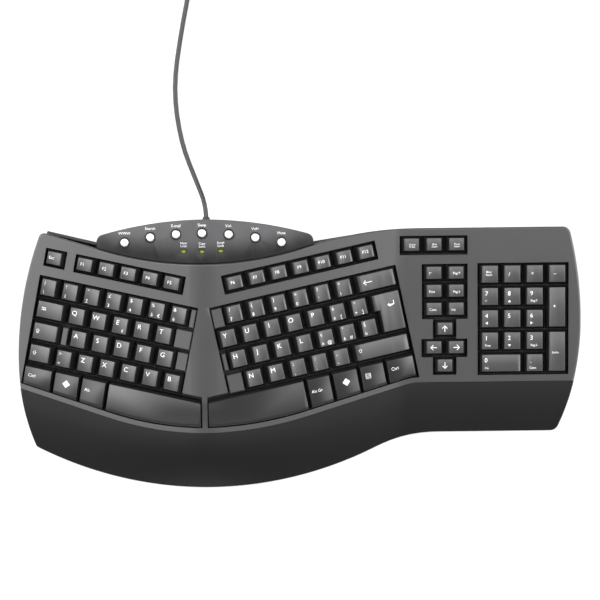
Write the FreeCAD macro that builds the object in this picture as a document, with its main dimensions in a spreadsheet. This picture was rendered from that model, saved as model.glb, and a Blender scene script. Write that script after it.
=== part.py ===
import FreeCAD, Part
import math
import os
import Sketcher
from FreeCAD import Matrix, Placement, Rotation, Vector

# Split, tented computer keyboard with a curved palm rest, in millimetres.
# X runs to the right, Y to the rear and Z up; the rubber feet stand on Z = 0
# and the origin is under the middle of the outline.

os.makedirs("parts", exist_ok=True)
doc = FreeCAD.newDocument("ergonomic_keyboard")
sheet = doc.addObject("Spreadsheet::Sheet", "sizes")

SIZES = (
    # gull-wing deck
    ("ridge_place", -80.7), ("ridge_height", 45.8), ("ridge_round", 80.0),
    ("pad_height", 22.3), ("valley_round", 60.0),
    ("tent_angle", 8.0), ("pitch_angle", 5.5),
    # outline seen from above
    ("half_length", 240.5), ("half_depth", 114.3),
    ("left_rear_radius", 295.0), ("left_front_radius", 210.0), ("left_widest", -5.7),
    ("right_rear_radius", 320.0), ("right_front_radius", 230.0), ("right_widest", 26.0),
    ("front_radius", 325.0), ("front_blend", 120.0), ("front_straight", -69.0),
    ("front_middle", -78.0),
    ("rear_hollow", 285.0), ("rear_hollow_low", 77.0), ("rear_blend", 300.0),
    ("rear_straight", 106.0), ("rear_left_angle", 17.0),
    ("small_corner", 4.5), ("large_corner", 7.0),
    ("joint_low", -66.1), ("joint_left_radius", 260.0), ("joint_left_angle", 18.5),
    ("joint_right_radius", 300.0), ("joint_right_angle", 16.7),
    ("joint_straight", -26.0), ("joint_corner", 40.0),
    # shells
    ("wall", 2.4), ("parting_height", 6.0), ("shell_bottom", 1.5), ("floor_thickness", 2.0),
    ("shell_bevel", 2.5), ("palm_front_height", 9.0), ("palm_middle_rise", 4.0),
    ("palm_middle_spread", 110.0), ("front_curve_end", 80.0),
    ("cover_round", 1.5), ("joint_round", 0.5), ("inner_gap", 0.3), ("rear_wall_drop", 10.0),
    # media panel and its buttons
    ("panel_radius", 328.0), ("panel_left", -170.5), ("panel_right", 12.7),
    ("panel_middle", -80.0), ("panel_drop", 0.4), ("panel_wall", 2.0), ("panel_corner", 6.5),
    ("panel_round", 1.0), ("panel_tuck", 10.0),
    ("button_radius", 3.2), ("button_gap", 0.3), ("button_travel", 0.7), ("button_flange", 4.4),
    ("button_stand", 1.6), ("bezel_radius", 4.6), ("bezel_rise", 0.5), ("bezel_depth", 2.0),
    ("lens_length", 6.0), ("lens_width", 2.8), ("lens_stand", 0.2), ("lens_depth", 3.0),
    ("lens_round", 0.5), ("lens_gap", 0.1),
    ("button_crown", 0.9), ("plunger_radius", 1.5), ("flange_thickness", 1.0), ("flange_gap", 0.95),
    # key fields
    ("key_pitch", 19.05), ("field_yaw", 12.49), ("key_gap", 1.3), ("well_strip", 4.5),
    ("key_top_height", 4.0), ("skirt_depth", 4.0), ("key_travel", 3.5), ("dish_depth", 0.5),
    ("cap_wall", 1.2), ("cap_roof", 1.7), ("cap_taper", 6.05), ("cap_taper_deep", 4.55),
    ("cap_shift", 0.6), ("row_forward", 0.03),
    ("pad_taper", 4.55), ("pad_taper_deep", 3.65),
    ("small_depth", 14.2), ("small_taper", 5.6), ("small_taper_deep", 4.2),
    ("stem_size", 3.8), ("stem_gap", 0.3), ("chimney_wall", 1.1), ("floor_clearance", 0.3),
    ("rim_wall", 1.2), ("frame_floor", 1.2), ("rim_rise", 2.0), ("rim_over", 1.0),
    ("chimney_gap", 0.3), ("thumb_chimney_drop", 1.4),
    ("dome_size", 6.6),
    ("dome_gap", 0.1), ("sheet_thickness", 0.5), ("membrane_thickness", 0.3),
    ("plate_thickness", 0.8),
    ("thumb_height", 3.7), ("thumb_slope", 0.09), ("thumb_round", 4.0), ("thumb_taper", 1.2),
    ("thumb_lean", 1.0), ("thumb_front_gap", 0.6), ("thumb_roof_extra", 0.4),
    ("ridge_strip", 4.6), ("thumb_end_gap", 1.2), ("filler_height", 1.0), ("filler_bevel", 0.5),
    # fixings and feet
    ("boss_radius", 2.6), ("screw_radius", 1.1), ("screw_length", 7.0), ("screw_head", 2.4),
    ("bore_gap", 0.1), ("cover_bore", 14.0), ("palm_bore", 7.0), ("screw_hole_gap", 0.3),
    ("head_height", 0.9), ("head_rim", 0.4), ("screw_point", 1.0), ("head_seat", 1.0),
    ("screw_tip", 0.36), ("screw_dome", 0.7),
    ("foot_length", 18.0), ("foot_width", 8.0), ("foot_round", 3.5), ("foot_spacing", 205.0),
    ("foot_rows", 148.0),
    ("foot_front", -58.0), ("flap_length", 26.0), ("flap_width", 30.0), ("flap_thickness", 4.0),
    ("heel_round", 1.98),
    ("grip_depth", 2.0), ("pin_end_gap", 0.4), ("pin_cover", 0.5),
    ("flap_pin", 1.4), ("flap_gap", 0.4), ("flap_place", 196.0), ("flap_rear", 76.0),
    # boards
    ("board_length", 70.0), ("board_width", 24.0), ("board_thickness", 1.6), ("board_height", 9.0),
    ("board_place", -66.0), ("board_rear", 94.0), ("post_radius", 2.5), ("post_inset", 4.0),
    ("chip_size", 12.0), ("chip_height", 1.6), ("header_length", 14.0), ("header_width", 5.0),
    ("header_height", 5.0), ("header_place", 25.0), ("header_rear", 3.0),
    ("switch_size", 5.0), ("switch_height", 1.2), ("switch_sink", 0.4), ("strip_gap", 1.0),
    ("strip_drop", 8.4),
    ("strip_thickness", 1.0), ("rib_thickness", 2.0), ("rib_length", 18.0), ("rib_front", 84.0),
    # cable
    ("cable_diameter", 4.0), ("exit_place", -79.2), ("exit_height", 12.0),
    ("grommet_radius", 3.6), ("grommet_length", 4.0), ("grommet_step", 0.8),
    ("grommet_flange", 1.5), ("grommet_lip", 0.7), ("grommet_gap", 0.05),
    ("coil_place", -62.0), ("coil_rear", 346.0), ("coil_radius", 15.8), ("coil_pitch", 4.75),
    ("tie_width", 5.0), ("tie_thickness", 0.6), ("tie_gap", 0.4),
    ("plug_length", 24.0), ("plug_width", 15.0), ("plug_thickness", 7.6), ("plug_shoulder", 4.0),
   
    ("contact_length", 14.0), ("contact_width", 12.0), ("contact_thickness", 4.5),
    ("contact_wall", 0.4),
)
for index, (alias, value) in enumerate(SIZES, start=1):
    sheet.set("A%d" % index, alias)
    sheet.set("B%d" % index, str(value))
    sheet.setAlias("B%d" % index, alias)
doc.recompute()


def size(alias):
    """A driving size from the sheet."""
    return float(getattr(sheet, alias))


# Outline seen from above

RIDGE = size("ridge_place")
TENT = math.tan(math.radians(size("tent_angle")))
PITCH = math.tan(math.radians(size("pitch_angle")))
FAR = 300.0
TALL = 90.0
NEAR = 0.01


def flat(x, y):
    return Vector(x, y, 0)


def arc(start, end, centre):
    """Arc of under half a turn from start to end about centre."""
    radius = start.sub(centre).Length
    middle = start.add(end).multiply(0.5).sub(centre)
    middle.normalize()
    return Part.Arc(start, centre.add(middle.multiply(radius)), end).toShape()


def line(start, end):
    return Part.makeLine(start, end)


def polygon(points):
    return Part.Face(Part.makePolygon(points + [points[0]]))


def prism(face, low, high):
    solid = face.extrude(Vector(0, 0, high - low))
    solid.translate(Vector(0, 0, low))
    return solid


def on_circle(centre, radius, along, sign, by_x=True):
    """Point of a circle at a given x (or y), on the side that sign names."""
    if by_x:
        return flat(along, centre.y + sign * math.sqrt(radius ** 2 - (along - centre.x) ** 2))
    return flat(centre.x + sign * math.sqrt(radius ** 2 - (along - centre.y) ** 2), along)


def circles_meet(first, first_radius, second, second_radius):
    """Crossing of two circles, on the left of the line from the first to the second."""
    between = second.sub(first)
    reach = between.Length
    along = (first_radius ** 2 - second_radius ** 2 + reach ** 2) / (2 * reach)
    across = math.sqrt(first_radius ** 2 - along ** 2)
    step = between.multiply(1 / reach)
    return first.add(step * along).add(Vector(-step.y, step.x, 0) * across)


def line_meets_circle(start, step, centre, radius):
    """Far crossing of a line with a circle, going along step."""
    away = start.sub(centre)
    half = away.dot(step)
    reach = -half + math.sqrt(half ** 2 - away.dot(away) + radius ** 2)
    return start.add(step * reach)


def true_arc(edge):
    """Round between two arcs, as an arc in place of a spline."""
    if edge.Curve.TypeId != "Part::GeomBSplineCurve":
        return edge
    low, high = edge.FirstParameter, edge.LastParameter
    return Part.Arc(*[edge.valueAt(place) for place in (low, (low + high) / 2, high)]).toShape()


def round_corners(face, corners):
    """Rounds the named corners (point, radius) of a flat face."""
    block = prism(face, 0, 1)
    for point, radius in corners:
        upright = [
            edge for edge in block.Edges
            if abs(edge.Vertexes[0].Z - edge.Vertexes[-1].Z) > 0.5
            and math.hypot(edge.Vertexes[0].X - point.x, edge.Vertexes[0].Y - point.y) < 0.1
        ]
        block = block.makeFillet(radius, upright)
    under = [part for part in block.Faces if part.BoundBox.ZMax < NEAR]
    return Part.Face(Part.Wire([true_arc(edge) for edge in under[0].OuterWire.OrderedEdges]))


def whole_outline():
    """Cover and palm rest together."""
    left_rear = flat(-size("half_length") + size("left_rear_radius"), size("left_widest"))
    left_front = flat(-size("half_length") + size("left_front_radius"), size("left_widest"))
    left = flat(-size("half_length"), size("left_widest"))
    right_rear = flat(size("half_length") - size("right_rear_radius"), size("right_widest"))
    right_front = flat(size("half_length") - size("right_front_radius"), size("right_widest"))
    right = flat(size("half_length"), size("right_widest"))
    front = flat(size("front_middle"), -size("half_depth") + size("front_radius"))
    drop = front.y - size("front_straight")
    blend = size("front_blend")
    reach = size("front_radius") + blend
    straight_start = front.x + math.sqrt(reach ** 2 - (drop + blend) ** 2)
    blend_centre = flat(straight_start, size("front_straight") - blend)
    blend_start = front.add(blend_centre.sub(front) * (size("front_radius") / reach))
    front_left = circles_meet(left_front, size("left_front_radius"),
                              front, size("front_radius"))
    front_right = on_circle(right_front, size("right_front_radius"),
                            size("front_straight"), 1, by_x=False)
    hollow = flat(RIDGE, size("rear_hollow_low") + size("rear_hollow"))
    rise = hollow.y - size("rear_straight") + size("rear_blend")
    span = size("rear_hollow") + size("rear_blend")
    rear_start = hollow.x + math.sqrt(span ** 2 - rise ** 2)
    rear_centre = flat(rear_start, size("rear_straight") - size("rear_blend"))
    turn = hollow.add(rear_centre.sub(hollow) * (size("rear_hollow") / span))
    angle = math.radians(size("rear_left_angle"))
    rear_left_start = hollow.add(
        flat(-math.sin(angle), -math.cos(angle)) * size("rear_hollow"))
    rear_left = line_meets_circle(rear_left_start, flat(-math.cos(angle), math.sin(angle)),
                                  left_rear, size("left_rear_radius"))
    rear_right = on_circle(right_rear, size("right_rear_radius"),
                           size("rear_straight"), 1, by_x=False)
    rear_flat = flat(rear_start, size("rear_straight"))
    wire = Part.Wire([
        arc(rear_left, left, left_rear),
        arc(left, front_left, left_front),
        arc(front_left, blend_start, front),
        arc(blend_start, flat(straight_start, size("front_straight")), blend_centre),
        line(flat(straight_start, size("front_straight")), front_right),
        arc(front_right, right, right_front),
        arc(right, rear_right, right_rear),
        line(rear_right, rear_flat),
        arc(rear_flat, turn, rear_centre),
        arc(turn, rear_left_start, hollow),
        line(rear_left_start, rear_left),
    ])
    return round_corners(Part.Face(wire), [
        (rear_left, size("small_corner")), (front_left, size("small_corner")),
        (front_right, size("large_corner")), (rear_right, size("large_corner")),
    ])


def joint_edges(inset):
    """Line between cover and palm rest, moved to the rear by inset."""
    left_angle = math.radians(size("joint_left_angle"))
    right_angle = math.radians(size("joint_right_angle"))
    left_centre = flat(RIDGE, size("joint_low") + size("joint_left_radius"))
    right_centre = flat(RIDGE, size("joint_low") + size("joint_right_radius"))
    low = flat(RIDGE, size("joint_low") + inset)
    left = left_centre.add(flat(-math.sin(left_angle), -math.cos(left_angle))
                           * (size("joint_left_radius") - inset))
    right_step = flat(math.sin(right_angle), -math.cos(right_angle))
    right = right_centre.add(right_step * (size("joint_right_radius") - inset))
    tangent = right_centre.add(right_step * size("joint_right_radius"))
    corner_x = tangent.x + (size("joint_straight") - tangent.y) / math.tan(right_angle)
    corner_centre = flat(corner_x + size("joint_corner") * math.tan(right_angle / 2),
                         size("joint_straight") - size("joint_corner"))
    corner_radius = size("joint_corner") + inset
    corner_start = corner_centre.add(
        flat(-math.sin(right_angle), math.cos(right_angle)) * corner_radius)
    corner_end = corner_centre.add(flat(0, corner_radius))
    far_left = flat(-FAR, left.y + (left.x + FAR) * math.tan(left_angle))
    far_right = flat(FAR, corner_end.y)
    return far_left, far_right, [
        line(far_left, left), arc(left, low, left_centre), arc(low, right, right_centre),
        line(right, corner_start), arc(corner_start, corner_end, corner_centre),
        line(corner_end, far_right),
    ]


def behind_joint(inset):
    """Everything to the rear of the joint line."""
    far_left, far_right, edges = joint_edges(inset)
    edges += [line(far_right, flat(FAR, FAR)), line(flat(FAR, FAR), flat(-FAR, FAR)),
              line(flat(-FAR, FAR), far_left)]
    return Part.Face(Part.Wire(edges))


def shrink(face, amount):
    return face.makeOffset2D(-amount)


WHOLE = whole_outline()
COVER_PLAN = WHOLE.common(behind_joint(0)).Faces[0]
PALM_PLAN = WHOLE.cut(behind_joint(0)).Faces[0]


def panel_outline():
    """Strip behind the cover that carries the media buttons."""
    middle = flat(size("panel_middle"), size("half_depth") - size("panel_radius"))
    left_end = on_circle(middle, size("panel_radius"), size("panel_left"), 1)
    right_end = on_circle(middle, size("panel_radius"), size("panel_right"), 1)
    front = size("rear_hollow_low") - size("panel_tuck")
    wire = Part.Wire([
        line(flat(size("panel_left"), front), left_end), arc(left_end, right_end, middle),
        line(right_end, flat(size("panel_right"), front)),
        line(flat(size("panel_right"), front), flat(size("panel_left"), front)),
    ])
    face = round_corners(Part.Face(wire), [(left_end, size("panel_corner")),
                                           (right_end, size("panel_corner"))])
    return face.cut(WHOLE).Faces[0]


PANEL_PLAN = panel_outline()
LEFT_STRIP = [(-215.5, 104.0), (-213.5, 107.3), (size("panel_left"), 96.8),
              (size("panel_left"), 85.0)]
RIGHT_STRIP = [(size("panel_right"), 95.8), (45.0, 101.0), (45.0, 95.0),
               (size("panel_right"), 85.0)]


def base_outline():
    """Lower housing: it shows behind the cover on both sides of the panel."""
    left_strip = polygon([flat(x, y) for x, y in LEFT_STRIP])
    right_strip = polygon([flat(x, y) for x, y in RIGHT_STRIP])
    joined = WHOLE.fuse([PANEL_PLAN, left_strip, right_strip]).removeSplitter()
    return Part.Face(joined.Faces[0].OuterWire)


BASE_PLAN = base_outline()


# Gull-wing deck

def deck_height(x, y):
    """Height of the deck, with its rounded ridge and valley."""
    tent_angle = math.radians(size("tent_angle"))
    ridge_reach = size("ridge_round") * math.tan(tent_angle)
    valley = RIDGE + (size("ridge_height") - size("pad_height")) / TENT
    valley_reach = size("valley_round") * math.tan(tent_angle / 2)
    away = x - RIDGE
    if abs(away) < ridge_reach * math.cos(tent_angle):
        top = size("ridge_height") - size("ridge_round") * (1 / math.cos(tent_angle) - 1)
        rise = top - size("ridge_round") + math.sqrt(size("ridge_round") ** 2 - away ** 2)
    elif x < valley - valley_reach:
        rise = size("ridge_height") - TENT * abs(away)
    elif x < valley + valley_reach:
        centre_x = valley + valley_reach
        low = size("pad_height") + size("valley_round")
        rise = low - math.sqrt(size("valley_round") ** 2 - (x - centre_x) ** 2)
    else:
        rise = size("pad_height")
    return rise + PITCH * y


def under_deck(drop):
    """Everything under the deck lowered by drop."""
    tent_angle = math.radians(size("tent_angle"))
    ridge_reach = size("ridge_round") * math.sin(tent_angle)
    valley = RIDGE + (size("ridge_height") - size("pad_height")) / TENT
    valley_reach = size("valley_round") * math.tan(tent_angle / 2)

    def at(x):
        return Vector(x, 0, deck_height(x, 0) - drop)

    def bend(left, middle, right):
        return Part.Arc(at(left), at(middle), at(right)).toShape()

    first = valley - valley_reach * math.cos(tent_angle)
    last = valley + valley_reach
    edges = [
        line(Vector(-FAR, 0, -FAR), at(-FAR)), line(at(-FAR), at(RIDGE - ridge_reach)),
        bend(RIDGE - ridge_reach, RIDGE, RIDGE + ridge_reach),
        line(at(RIDGE + ridge_reach), at(first)), bend(first, (first + last) / 2, last),
        line(at(last), at(FAR)), line(at(FAR), Vector(FAR, 0, -FAR)),
        line(Vector(FAR, 0, -FAR), Vector(-FAR, 0, -FAR)),
    ]
    solid = Part.Face(Part.Wire(edges)).extrude(Vector(0, FAR, FAR * PITCH))
    solid.translate(Vector(0, -FAR / 2, -FAR / 2 * PITCH))
    return solid


def part_feature(node, shape):
    """Sub-part whose shape is worked out from the sheet."""
    feature = doc.addObject("Part::Feature", node)
    feature.Label = node
    feature.Shape = shape
    feature.Placement = shape.Placement
    return feature


# Key fields: column and row count key pitches, height is above the deck plane

FIELDS = {
    "left": {"slope": TENT, "yaw": -size("field_yaw"), "place": (-162.0, 19.0),
             "column": 3.5, "row": 1.5},
    "right": {"slope": -TENT, "yaw": size("field_yaw"), "place": (-2.9, 18.0),
              "column": 10.0, "row": 1.5},
    "pad": {"slope": 0.0, "yaw": 0.0, "place": (181.5, 37.3), "column": 1.0, "row": 1.5},
}


def field_placement(side):
    field = FIELDS[side]
    x, y = field["place"]
    if side == "pad":
        z = size("pad_height") + PITCH * y
    else:
        z = size("ridge_height") - TENT * abs(x - RIDGE) + PITCH * y
    yaw = math.radians(field["yaw"])
    up = Vector(-field["slope"], -PITCH, 1)
    up.normalize()
    across = Vector(math.cos(yaw), math.sin(yaw), 0)
    across.z = field["slope"] * across.x + PITCH * across.y
    across.normalize()
    back = up.cross(across)
    return Placement(Matrix(across.x, back.x, up.x, x, across.y, back.y, up.y, y,
                            across.z, back.z, up.z, z, 0, 0, 0, 1))


PLACEMENTS = {side: field_placement(side) for side in FIELDS}


def field_xy(side, column, row):
    """Place in a field's own plane, in millimetres."""
    field = FIELDS[side]
    return ((column - field["column"]) * size("key_pitch"),
            (field["row"] - row) * size("key_pitch"))


def put(shape, side, column=None, row=None):
    """Moves a shape from a key's own frame to the keyboard's."""
    moved = shape.copy()
    if column is not None:
        x, y = field_xy(side, column, row)
        moved.translate(Vector(x, y, 0))
    moved.Placement = PLACEMENTS[side].multiply(moved.Placement)
    return moved


def field_box(side, area, grow, low, high):
    """Block over an area (column, row, column, row) of a field."""
    left, rear = field_xy(side, area[0], area[1])
    right, front = field_xy(side, area[2], area[3])
    box = Part.makeBox(right - left + 2 * grow, rear - front + 2 * grow, high - low,
                       Vector(left - grow, front - grow, low))
    return put(box, side)


WELLS = {
    "left": {"main": (-0.04, -0.47, 7.27, 3.56), "thumb": (-0.04, 3.40, 9.0, 6.5),
             "others": [(1.42, -1.72, 6.48, -0.89), (0.03, -1.72, 1.02, -0.90)]},
    "right": {"main": (6.46, -0.47, 15.02, 3.56), "thumb": (4.5, 3.40, 15.02, 6.5),
              "others": [(7.28, -1.74, 14.33, -0.88)]},
    "pad": {"others": [(-4.01, -1.77, -0.98, -0.91), (-3.03, -0.50, -0.98, 1.98),
                       (-2.54, 1.90, -1.49, 2.95), (-3.06, 2.87, -1.00, 3.70),
                       (-2.55, 3.60, -1.49, 4.50), (-0.54, -0.52, 3.54, 4.53)]},
}
PLATES = {
    "left": {"main": (-0.10, -0.55, 7.33, 3.60), "thumb": (-0.10, 3.50, 9.0, 6.5),
             "others": [(-0.10, -1.80, 6.55, -0.50)]},
    "right": {"main": (6.40, -0.55, 15.08, 3.60), "thumb": (4.5, 3.50, 15.08, 6.5),
              "others": [(7.20, -1.80, 14.40, -0.50)]},
    "pad": {"others": [(-4.07, -1.83, -0.80, -0.85), (-3.12, -0.90, 3.60, 4.60)]},
}


def half_space(side, gap):
    """The keyboard's half on one side of the ridge, kept gap away from it."""
    if side == "left":
        return Part.makeBox(FAR + RIDGE - gap, 2 * FAR, 2 * FAR, Vector(-FAR, -FAR, -FAR))
    return Part.makeBox(FAR, 2 * FAR, 2 * FAR, Vector(RIDGE + gap, -FAR, -FAR))


def field_region(table, side, grow, low, high):
    """Wells or plates of one field as one solid, limited by the ridge and the front strip."""
    areas = table[side]
    blocks = [field_box(side, area, grow, low, high) for area in areas["others"]]
    if "thumb" in areas:
        thumb = field_box(side, areas["thumb"], grow, low, high)
        limit = prism(behind_joint(size("well_strip") - grow), -FAR / 2, FAR / 2)
        blocks.append(thumb.common(limit))
        blocks.append(field_box(side, areas["main"], grow, low, high))
    region = blocks[0].fuse(blocks[1:]) if len(blocks) > 1 else blocks[0]
    if side != "pad":
        region = region.common(half_space(side, size("ridge_strip") / 2 - grow))
    return region.removeSplitter()


# Keys: column, row, width and depth in pitches; the row counts from the number row

def row_of(columns, row, width=1.0, depth=1.0):
    return [(column, row, width, depth) for column in columns]


def steps(first, count):
    return [first + index for index in range(count)]


FUNCTION_ROW = -1.34
SYSTEM_ROW = -1.36
KEYS = {
    "key_escape": ("left", "small", row_of([0.52], FUNCTION_ROW, 0.96)),
    "keys_function_left": ("left", "small", row_of(steps(1.93, 5), FUNCTION_ROW)),
    "keys_number_left": ("left", "main", row_of(steps(0.5, 7), 0)),
    "key_tab": ("left", "main", [(0.75, 1, 1.5, 1.0)]),
    "keys_top_letters_left": ("left", "main", row_of(steps(2.0, 5), 1)),
    "key_caps_lock": ("left", "main", [(0.71, 2, 1.42, 1.0)]),
    "keys_home_letters_left": ("left", "main", row_of(steps(2.25, 5), 2)),
    "key_shift_left": ("left", "main", [(0.625, 3, 1.25, 1.0)]),
    "keys_bottom_letters_left": ("left", "main", row_of(steps(1.75, 6), 3)),
    "keys_function_right": ("right", "small", row_of(steps(7.81, 7), FUNCTION_ROW)),
    "keys_number_right": ("right", "main", row_of(steps(7.5, 6), 0)),
    "key_backspace": ("right", "main", [(14.0, 0, 2.0, 1.0)]),
    "keys_top_letters_right": ("right", "main", row_of(steps(7.0, 7), 1)),
    "keys_home_letters_right": ("right", "main", row_of(steps(7.25, 7), 2)),
    "keys_bottom_letters_right": ("right", "main", row_of(steps(7.75, 5), 3)),
    "key_shift_right": ("right", "main", [(13.625, 3, 2.75, 1.0)]),
    "keys_system": ("pad", "small", row_of([-3.49, -2.49, -1.49], SYSTEM_ROW)),
    "keys_navigation": ("pad", "small", row_of([-2.50, -1.51], -0.09) + row_of([-2.50, -1.51], 0.72)
                        + row_of([-2.50, -1.51], 1.53)),
    "keys_arrow": ("pad", "small", row_of([-2.015], 2.42) + row_of([-2.51, -1.52], 3.26)
                   + row_of([-2.02], 4.08)),
    "keys_numpad_top": ("pad", "pad", row_of(steps(0, 4), 0)),
    "keys_numpad_789": ("pad", "pad", row_of(steps(0, 3), 1)),
    "keys_numpad_456": ("pad", "pad", row_of(steps(0, 3), 2)),
    "keys_numpad_123": ("pad", "pad", row_of(steps(0, 3), 3)),
    "key_numpad_plus": ("pad", "pad", [(3, 1.5, 1.0, 2.0)]),
    "key_numpad_enter": ("pad", "pad", [(3, 3.5, 1.0, 2.0)]),
    "key_numpad_zero": ("pad", "pad", [(0.5, 4, 2.0, 1.0)]),
    "key_numpad_delete": ("pad", "pad", [(2, 4, 1.0, 1.0)]),
}
THUMB_KEYS = {
    "keys_modifier_left": ("left", [(0.0, 1.415), (1.415, 2.68), (2.68, 3.915)]),
    "key_space_left": ("left", [(3.915, 9.0)]),
    "key_space_right": ("right", [(4.5, 9.915)]),
    "keys_modifier_right": ("right", [(9.915, 11.1), (11.1, 12.36), (12.36, 13.59),
                                      (13.59, 14.98)]),
}
THUMB_REAR = 3.56
THUMB_STEMS = {"keys_modifier_left": [(0.70, 4.0), (2.05, 4.05), (3.30, 4.1)],
               "key_space_left": [(5.9, 4.15)],
               "key_space_right": [(7.9, 4.15)],
               "keys_modifier_right": [(10.5, 4.15), (11.75, 4.1), (12.98, 4.05), (14.3, 4.0)]}
ENTER_AREA = [(13.5, 0.5), (15.0, 0.5), (15.0, 2.5), (13.75, 2.5), (13.75, 1.5), (13.5, 1.5)]
ENTER_STEM = (14.37, 1.5)

TOP = size("key_top_height")
SKIRT = -size("skirt_depth")
FLOOR = SKIRT - size("key_travel") - size("floor_clearance")
STEM_END = FLOOR - size("frame_floor") + size("floor_clearance")
SHEET_TOP = STEM_END - size("key_travel") - size("floor_clearance")
SHEET_LOW = SHEET_TOP - size("sheet_thickness")
MEMBRANE_LOW = SHEET_LOW - size("membrane_thickness")
PLATE_LOW = MEMBRANE_LOW - size("plate_thickness")


def rectangle(width, depth, height, shift=0.0):
    half, deep = width / 2, depth / 2
    return Part.makePolygon([
        Vector(-half, shift - deep, height), Vector(half, shift - deep, height),
        Vector(half, shift + deep, height), Vector(-half, shift + deep, height),
        Vector(-half, shift - deep, height),
    ])


def stem():
    """Square post under a cap, which slides in the frame's chimney."""
    side = size("stem_size")
    roof = TOP - size("cap_roof")
    return Part.makeBox(side, side, roof - STEM_END, Vector(-side / 2, -side / 2, STEM_END))


def dish(width):
    """Cylinder that hollows a cap's top across its width."""
    depth = size("dish_depth")
    radius = width ** 2 / (8 * depth) + depth / 2
    return Part.makeCylinder(radius, 2 * FAR, Vector(0, -FAR, TOP + radius - depth),
                             Vector(0, 1, 0))


def cap(width, depth, taper, taper_deep):
    """Hollow key cap with a dished top and a stem."""
    wall = size("cap_wall")
    shift = size("cap_shift")
    top_width, top_depth = width - taper, depth - taper_deep
    roof = TOP - size("cap_roof")
    outer = Part.makeLoft([rectangle(width, depth, SKIRT),
                           rectangle(top_width, top_depth, TOP, shift)], True, True)
    outer = outer.cut(dish(top_width))
    inner = Part.makeLoft([rectangle(width - 2 * wall, depth - 2 * wall, SKIRT),
                           rectangle(top_width - 2 * wall, top_depth - 2 * wall, roof, shift)],
                          True, True)
    return outer.cut(inner).fuse(stem()).removeSplitter()


def key_size(kind, width, depth):
    """Base size and tapers of a cap of a kind."""
    base = width * size("key_pitch") - size("key_gap")
    if kind == "small":
        return base, size("small_depth"), size("small_taper"), size("small_taper_deep")
    deep = depth * size("key_pitch") - size("key_gap")
    if kind == "pad":
        return base, deep, size("pad_taper"), size("pad_taper_deep")
    return base, deep, size("cap_taper"), size("cap_taper_deep")


def key_row(side, row):
    """Row of a cap's base: on the tented halves it lies a little in front of its top."""
    return row if side == "pad" else row + size("row_forward")


def key_group(node):
    side, kind, places = KEYS[node]
    caps = []
    for column, row, width, depth in places:
        one = cap(*key_size(kind, width, depth))
        caps.append(put(one, side, column, key_row(side, row)))
    return Part.makeCompound(caps)


def enter_wire(inset, height, shift):
    """Outline of the two-row key, drawn in by inset all round."""
    points = [flat(*field_xy("right", column, row + size("row_forward")))
              for column, row in ENTER_AREA]
    face = polygon(points).makeOffset2D(-inset, 2)
    corners = [vertex.Point for vertex in face.OuterWire.OrderedVertexes]
    lifted = [Vector(point.x, point.y + shift, height) for point in corners]
    return Part.makePolygon(lifted + [lifted[0]])


def enter_key():
    gap = size("key_gap") / 2
    wall = size("cap_wall")
    shift = size("cap_shift")
    inset = gap + size("cap_taper_deep") / 2
    roof = TOP - size("cap_roof")
    outer = Part.makeLoft([enter_wire(gap, SKIRT, 0), enter_wire(inset, TOP, shift)], True, True)
    middle = field_xy("right", *ENTER_STEM)
    hollow = dish(1.5 * size("key_pitch") - 2 * inset)
    hollow.translate(Vector(middle[0], 0, 0))
    inner = Part.makeLoft([enter_wire(gap + wall, SKIRT, 0),
                           enter_wire(inset + wall, roof, shift)], True, True)
    post = stem()
    post.translate(Vector(middle[0], middle[1], 0))
    return put(outer.cut(hollow).cut(inner).fuse(post).removeSplitter(), "right")


def thumb_block(side, start, end, inset, top, limit):
    """Wedge of one front-row cap, cut to the curve in front of it."""
    taper = size("thumb_taper")
    gap = size("key_gap") / 2 + inset
    left, rear = field_xy(side, start, THUMB_REAR)
    right, front = field_xy(side, end, WELLS[side]["thumb"][3])
    left, right, rear = left + gap, right - gap, rear - inset
    fall = size("thumb_slope") * (rear - front)
    lean = taper + size("thumb_lean")
    low = [Vector(left, front, SKIRT), Vector(right, front, SKIRT),
           Vector(right, rear, SKIRT), Vector(left, rear, SKIRT)]
    high = [Vector(left + taper, front, top - fall), Vector(right - taper, front, top - fall),
            Vector(right - taper, rear - lean, top), Vector(left + taper, rear - lean, top)]
    block = Part.makeLoft([Part.makePolygon(low + [low[0]]), Part.makePolygon(high + [high[0]])],
                          True, True)
    return put(block, side).common(limit)


def thumb_cap(side, start, end, place):
    """Front-row key: its front follows the curve of the palm rest and rolls down."""
    wall = size("cap_wall")
    edge = size("well_strip") + size("thumb_front_gap")
    end_gap = size("ridge_strip") / 2 + size("thumb_end_gap")
    ahead = prism(behind_joint(edge), -FAR / 2, FAR / 2).common(half_space(side, end_gap))
    inside = prism(behind_joint(edge + wall), -FAR / 2, FAR / 2)
    inside = inside.common(half_space(side, end_gap + wall))
    top = size("thumb_height")
    outer = thumb_block(side, start, end, 0, top, ahead)
    front = [edge_line for edge_line in outer.Edges if is_front_top(edge_line, side)]
    outer = outer.makeFillet(size("thumb_round"), front)
    roof = top - size("cap_roof") - size("thumb_roof_extra")
    inner = thumb_block(side, start, end, wall, roof, inside)
    post = put(stem(), side, *place)
    return outer.cut(inner).fuse(post).removeSplitter()


def is_front_top(edge, side):
    """True for the edge where a front-row cap's top meets its curved front."""
    middle = edge.valueAt((edge.FirstParameter + edge.LastParameter) / 2)
    local = PLACEMENTS[side].inverse().multVec(middle)
    _, rear = field_xy(side, 0, THUMB_REAR)
    ends = [PLACEMENTS[side].inverse().multVec(vertex.Point) for vertex in edge.Vertexes]
    return (local.z > 0 and local.y < rear - size("key_pitch") / 2
            and abs(ends[0].x - ends[-1].x) > abs(ends[0].y - ends[-1].y))


def thumb_group(node):
    side, spans = THUMB_KEYS[node]
    caps = [thumb_cap(side, start, end, place)
            for (start, end), place in zip(spans, THUMB_STEMS[node])]
    return Part.makeCompound(caps)


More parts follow.
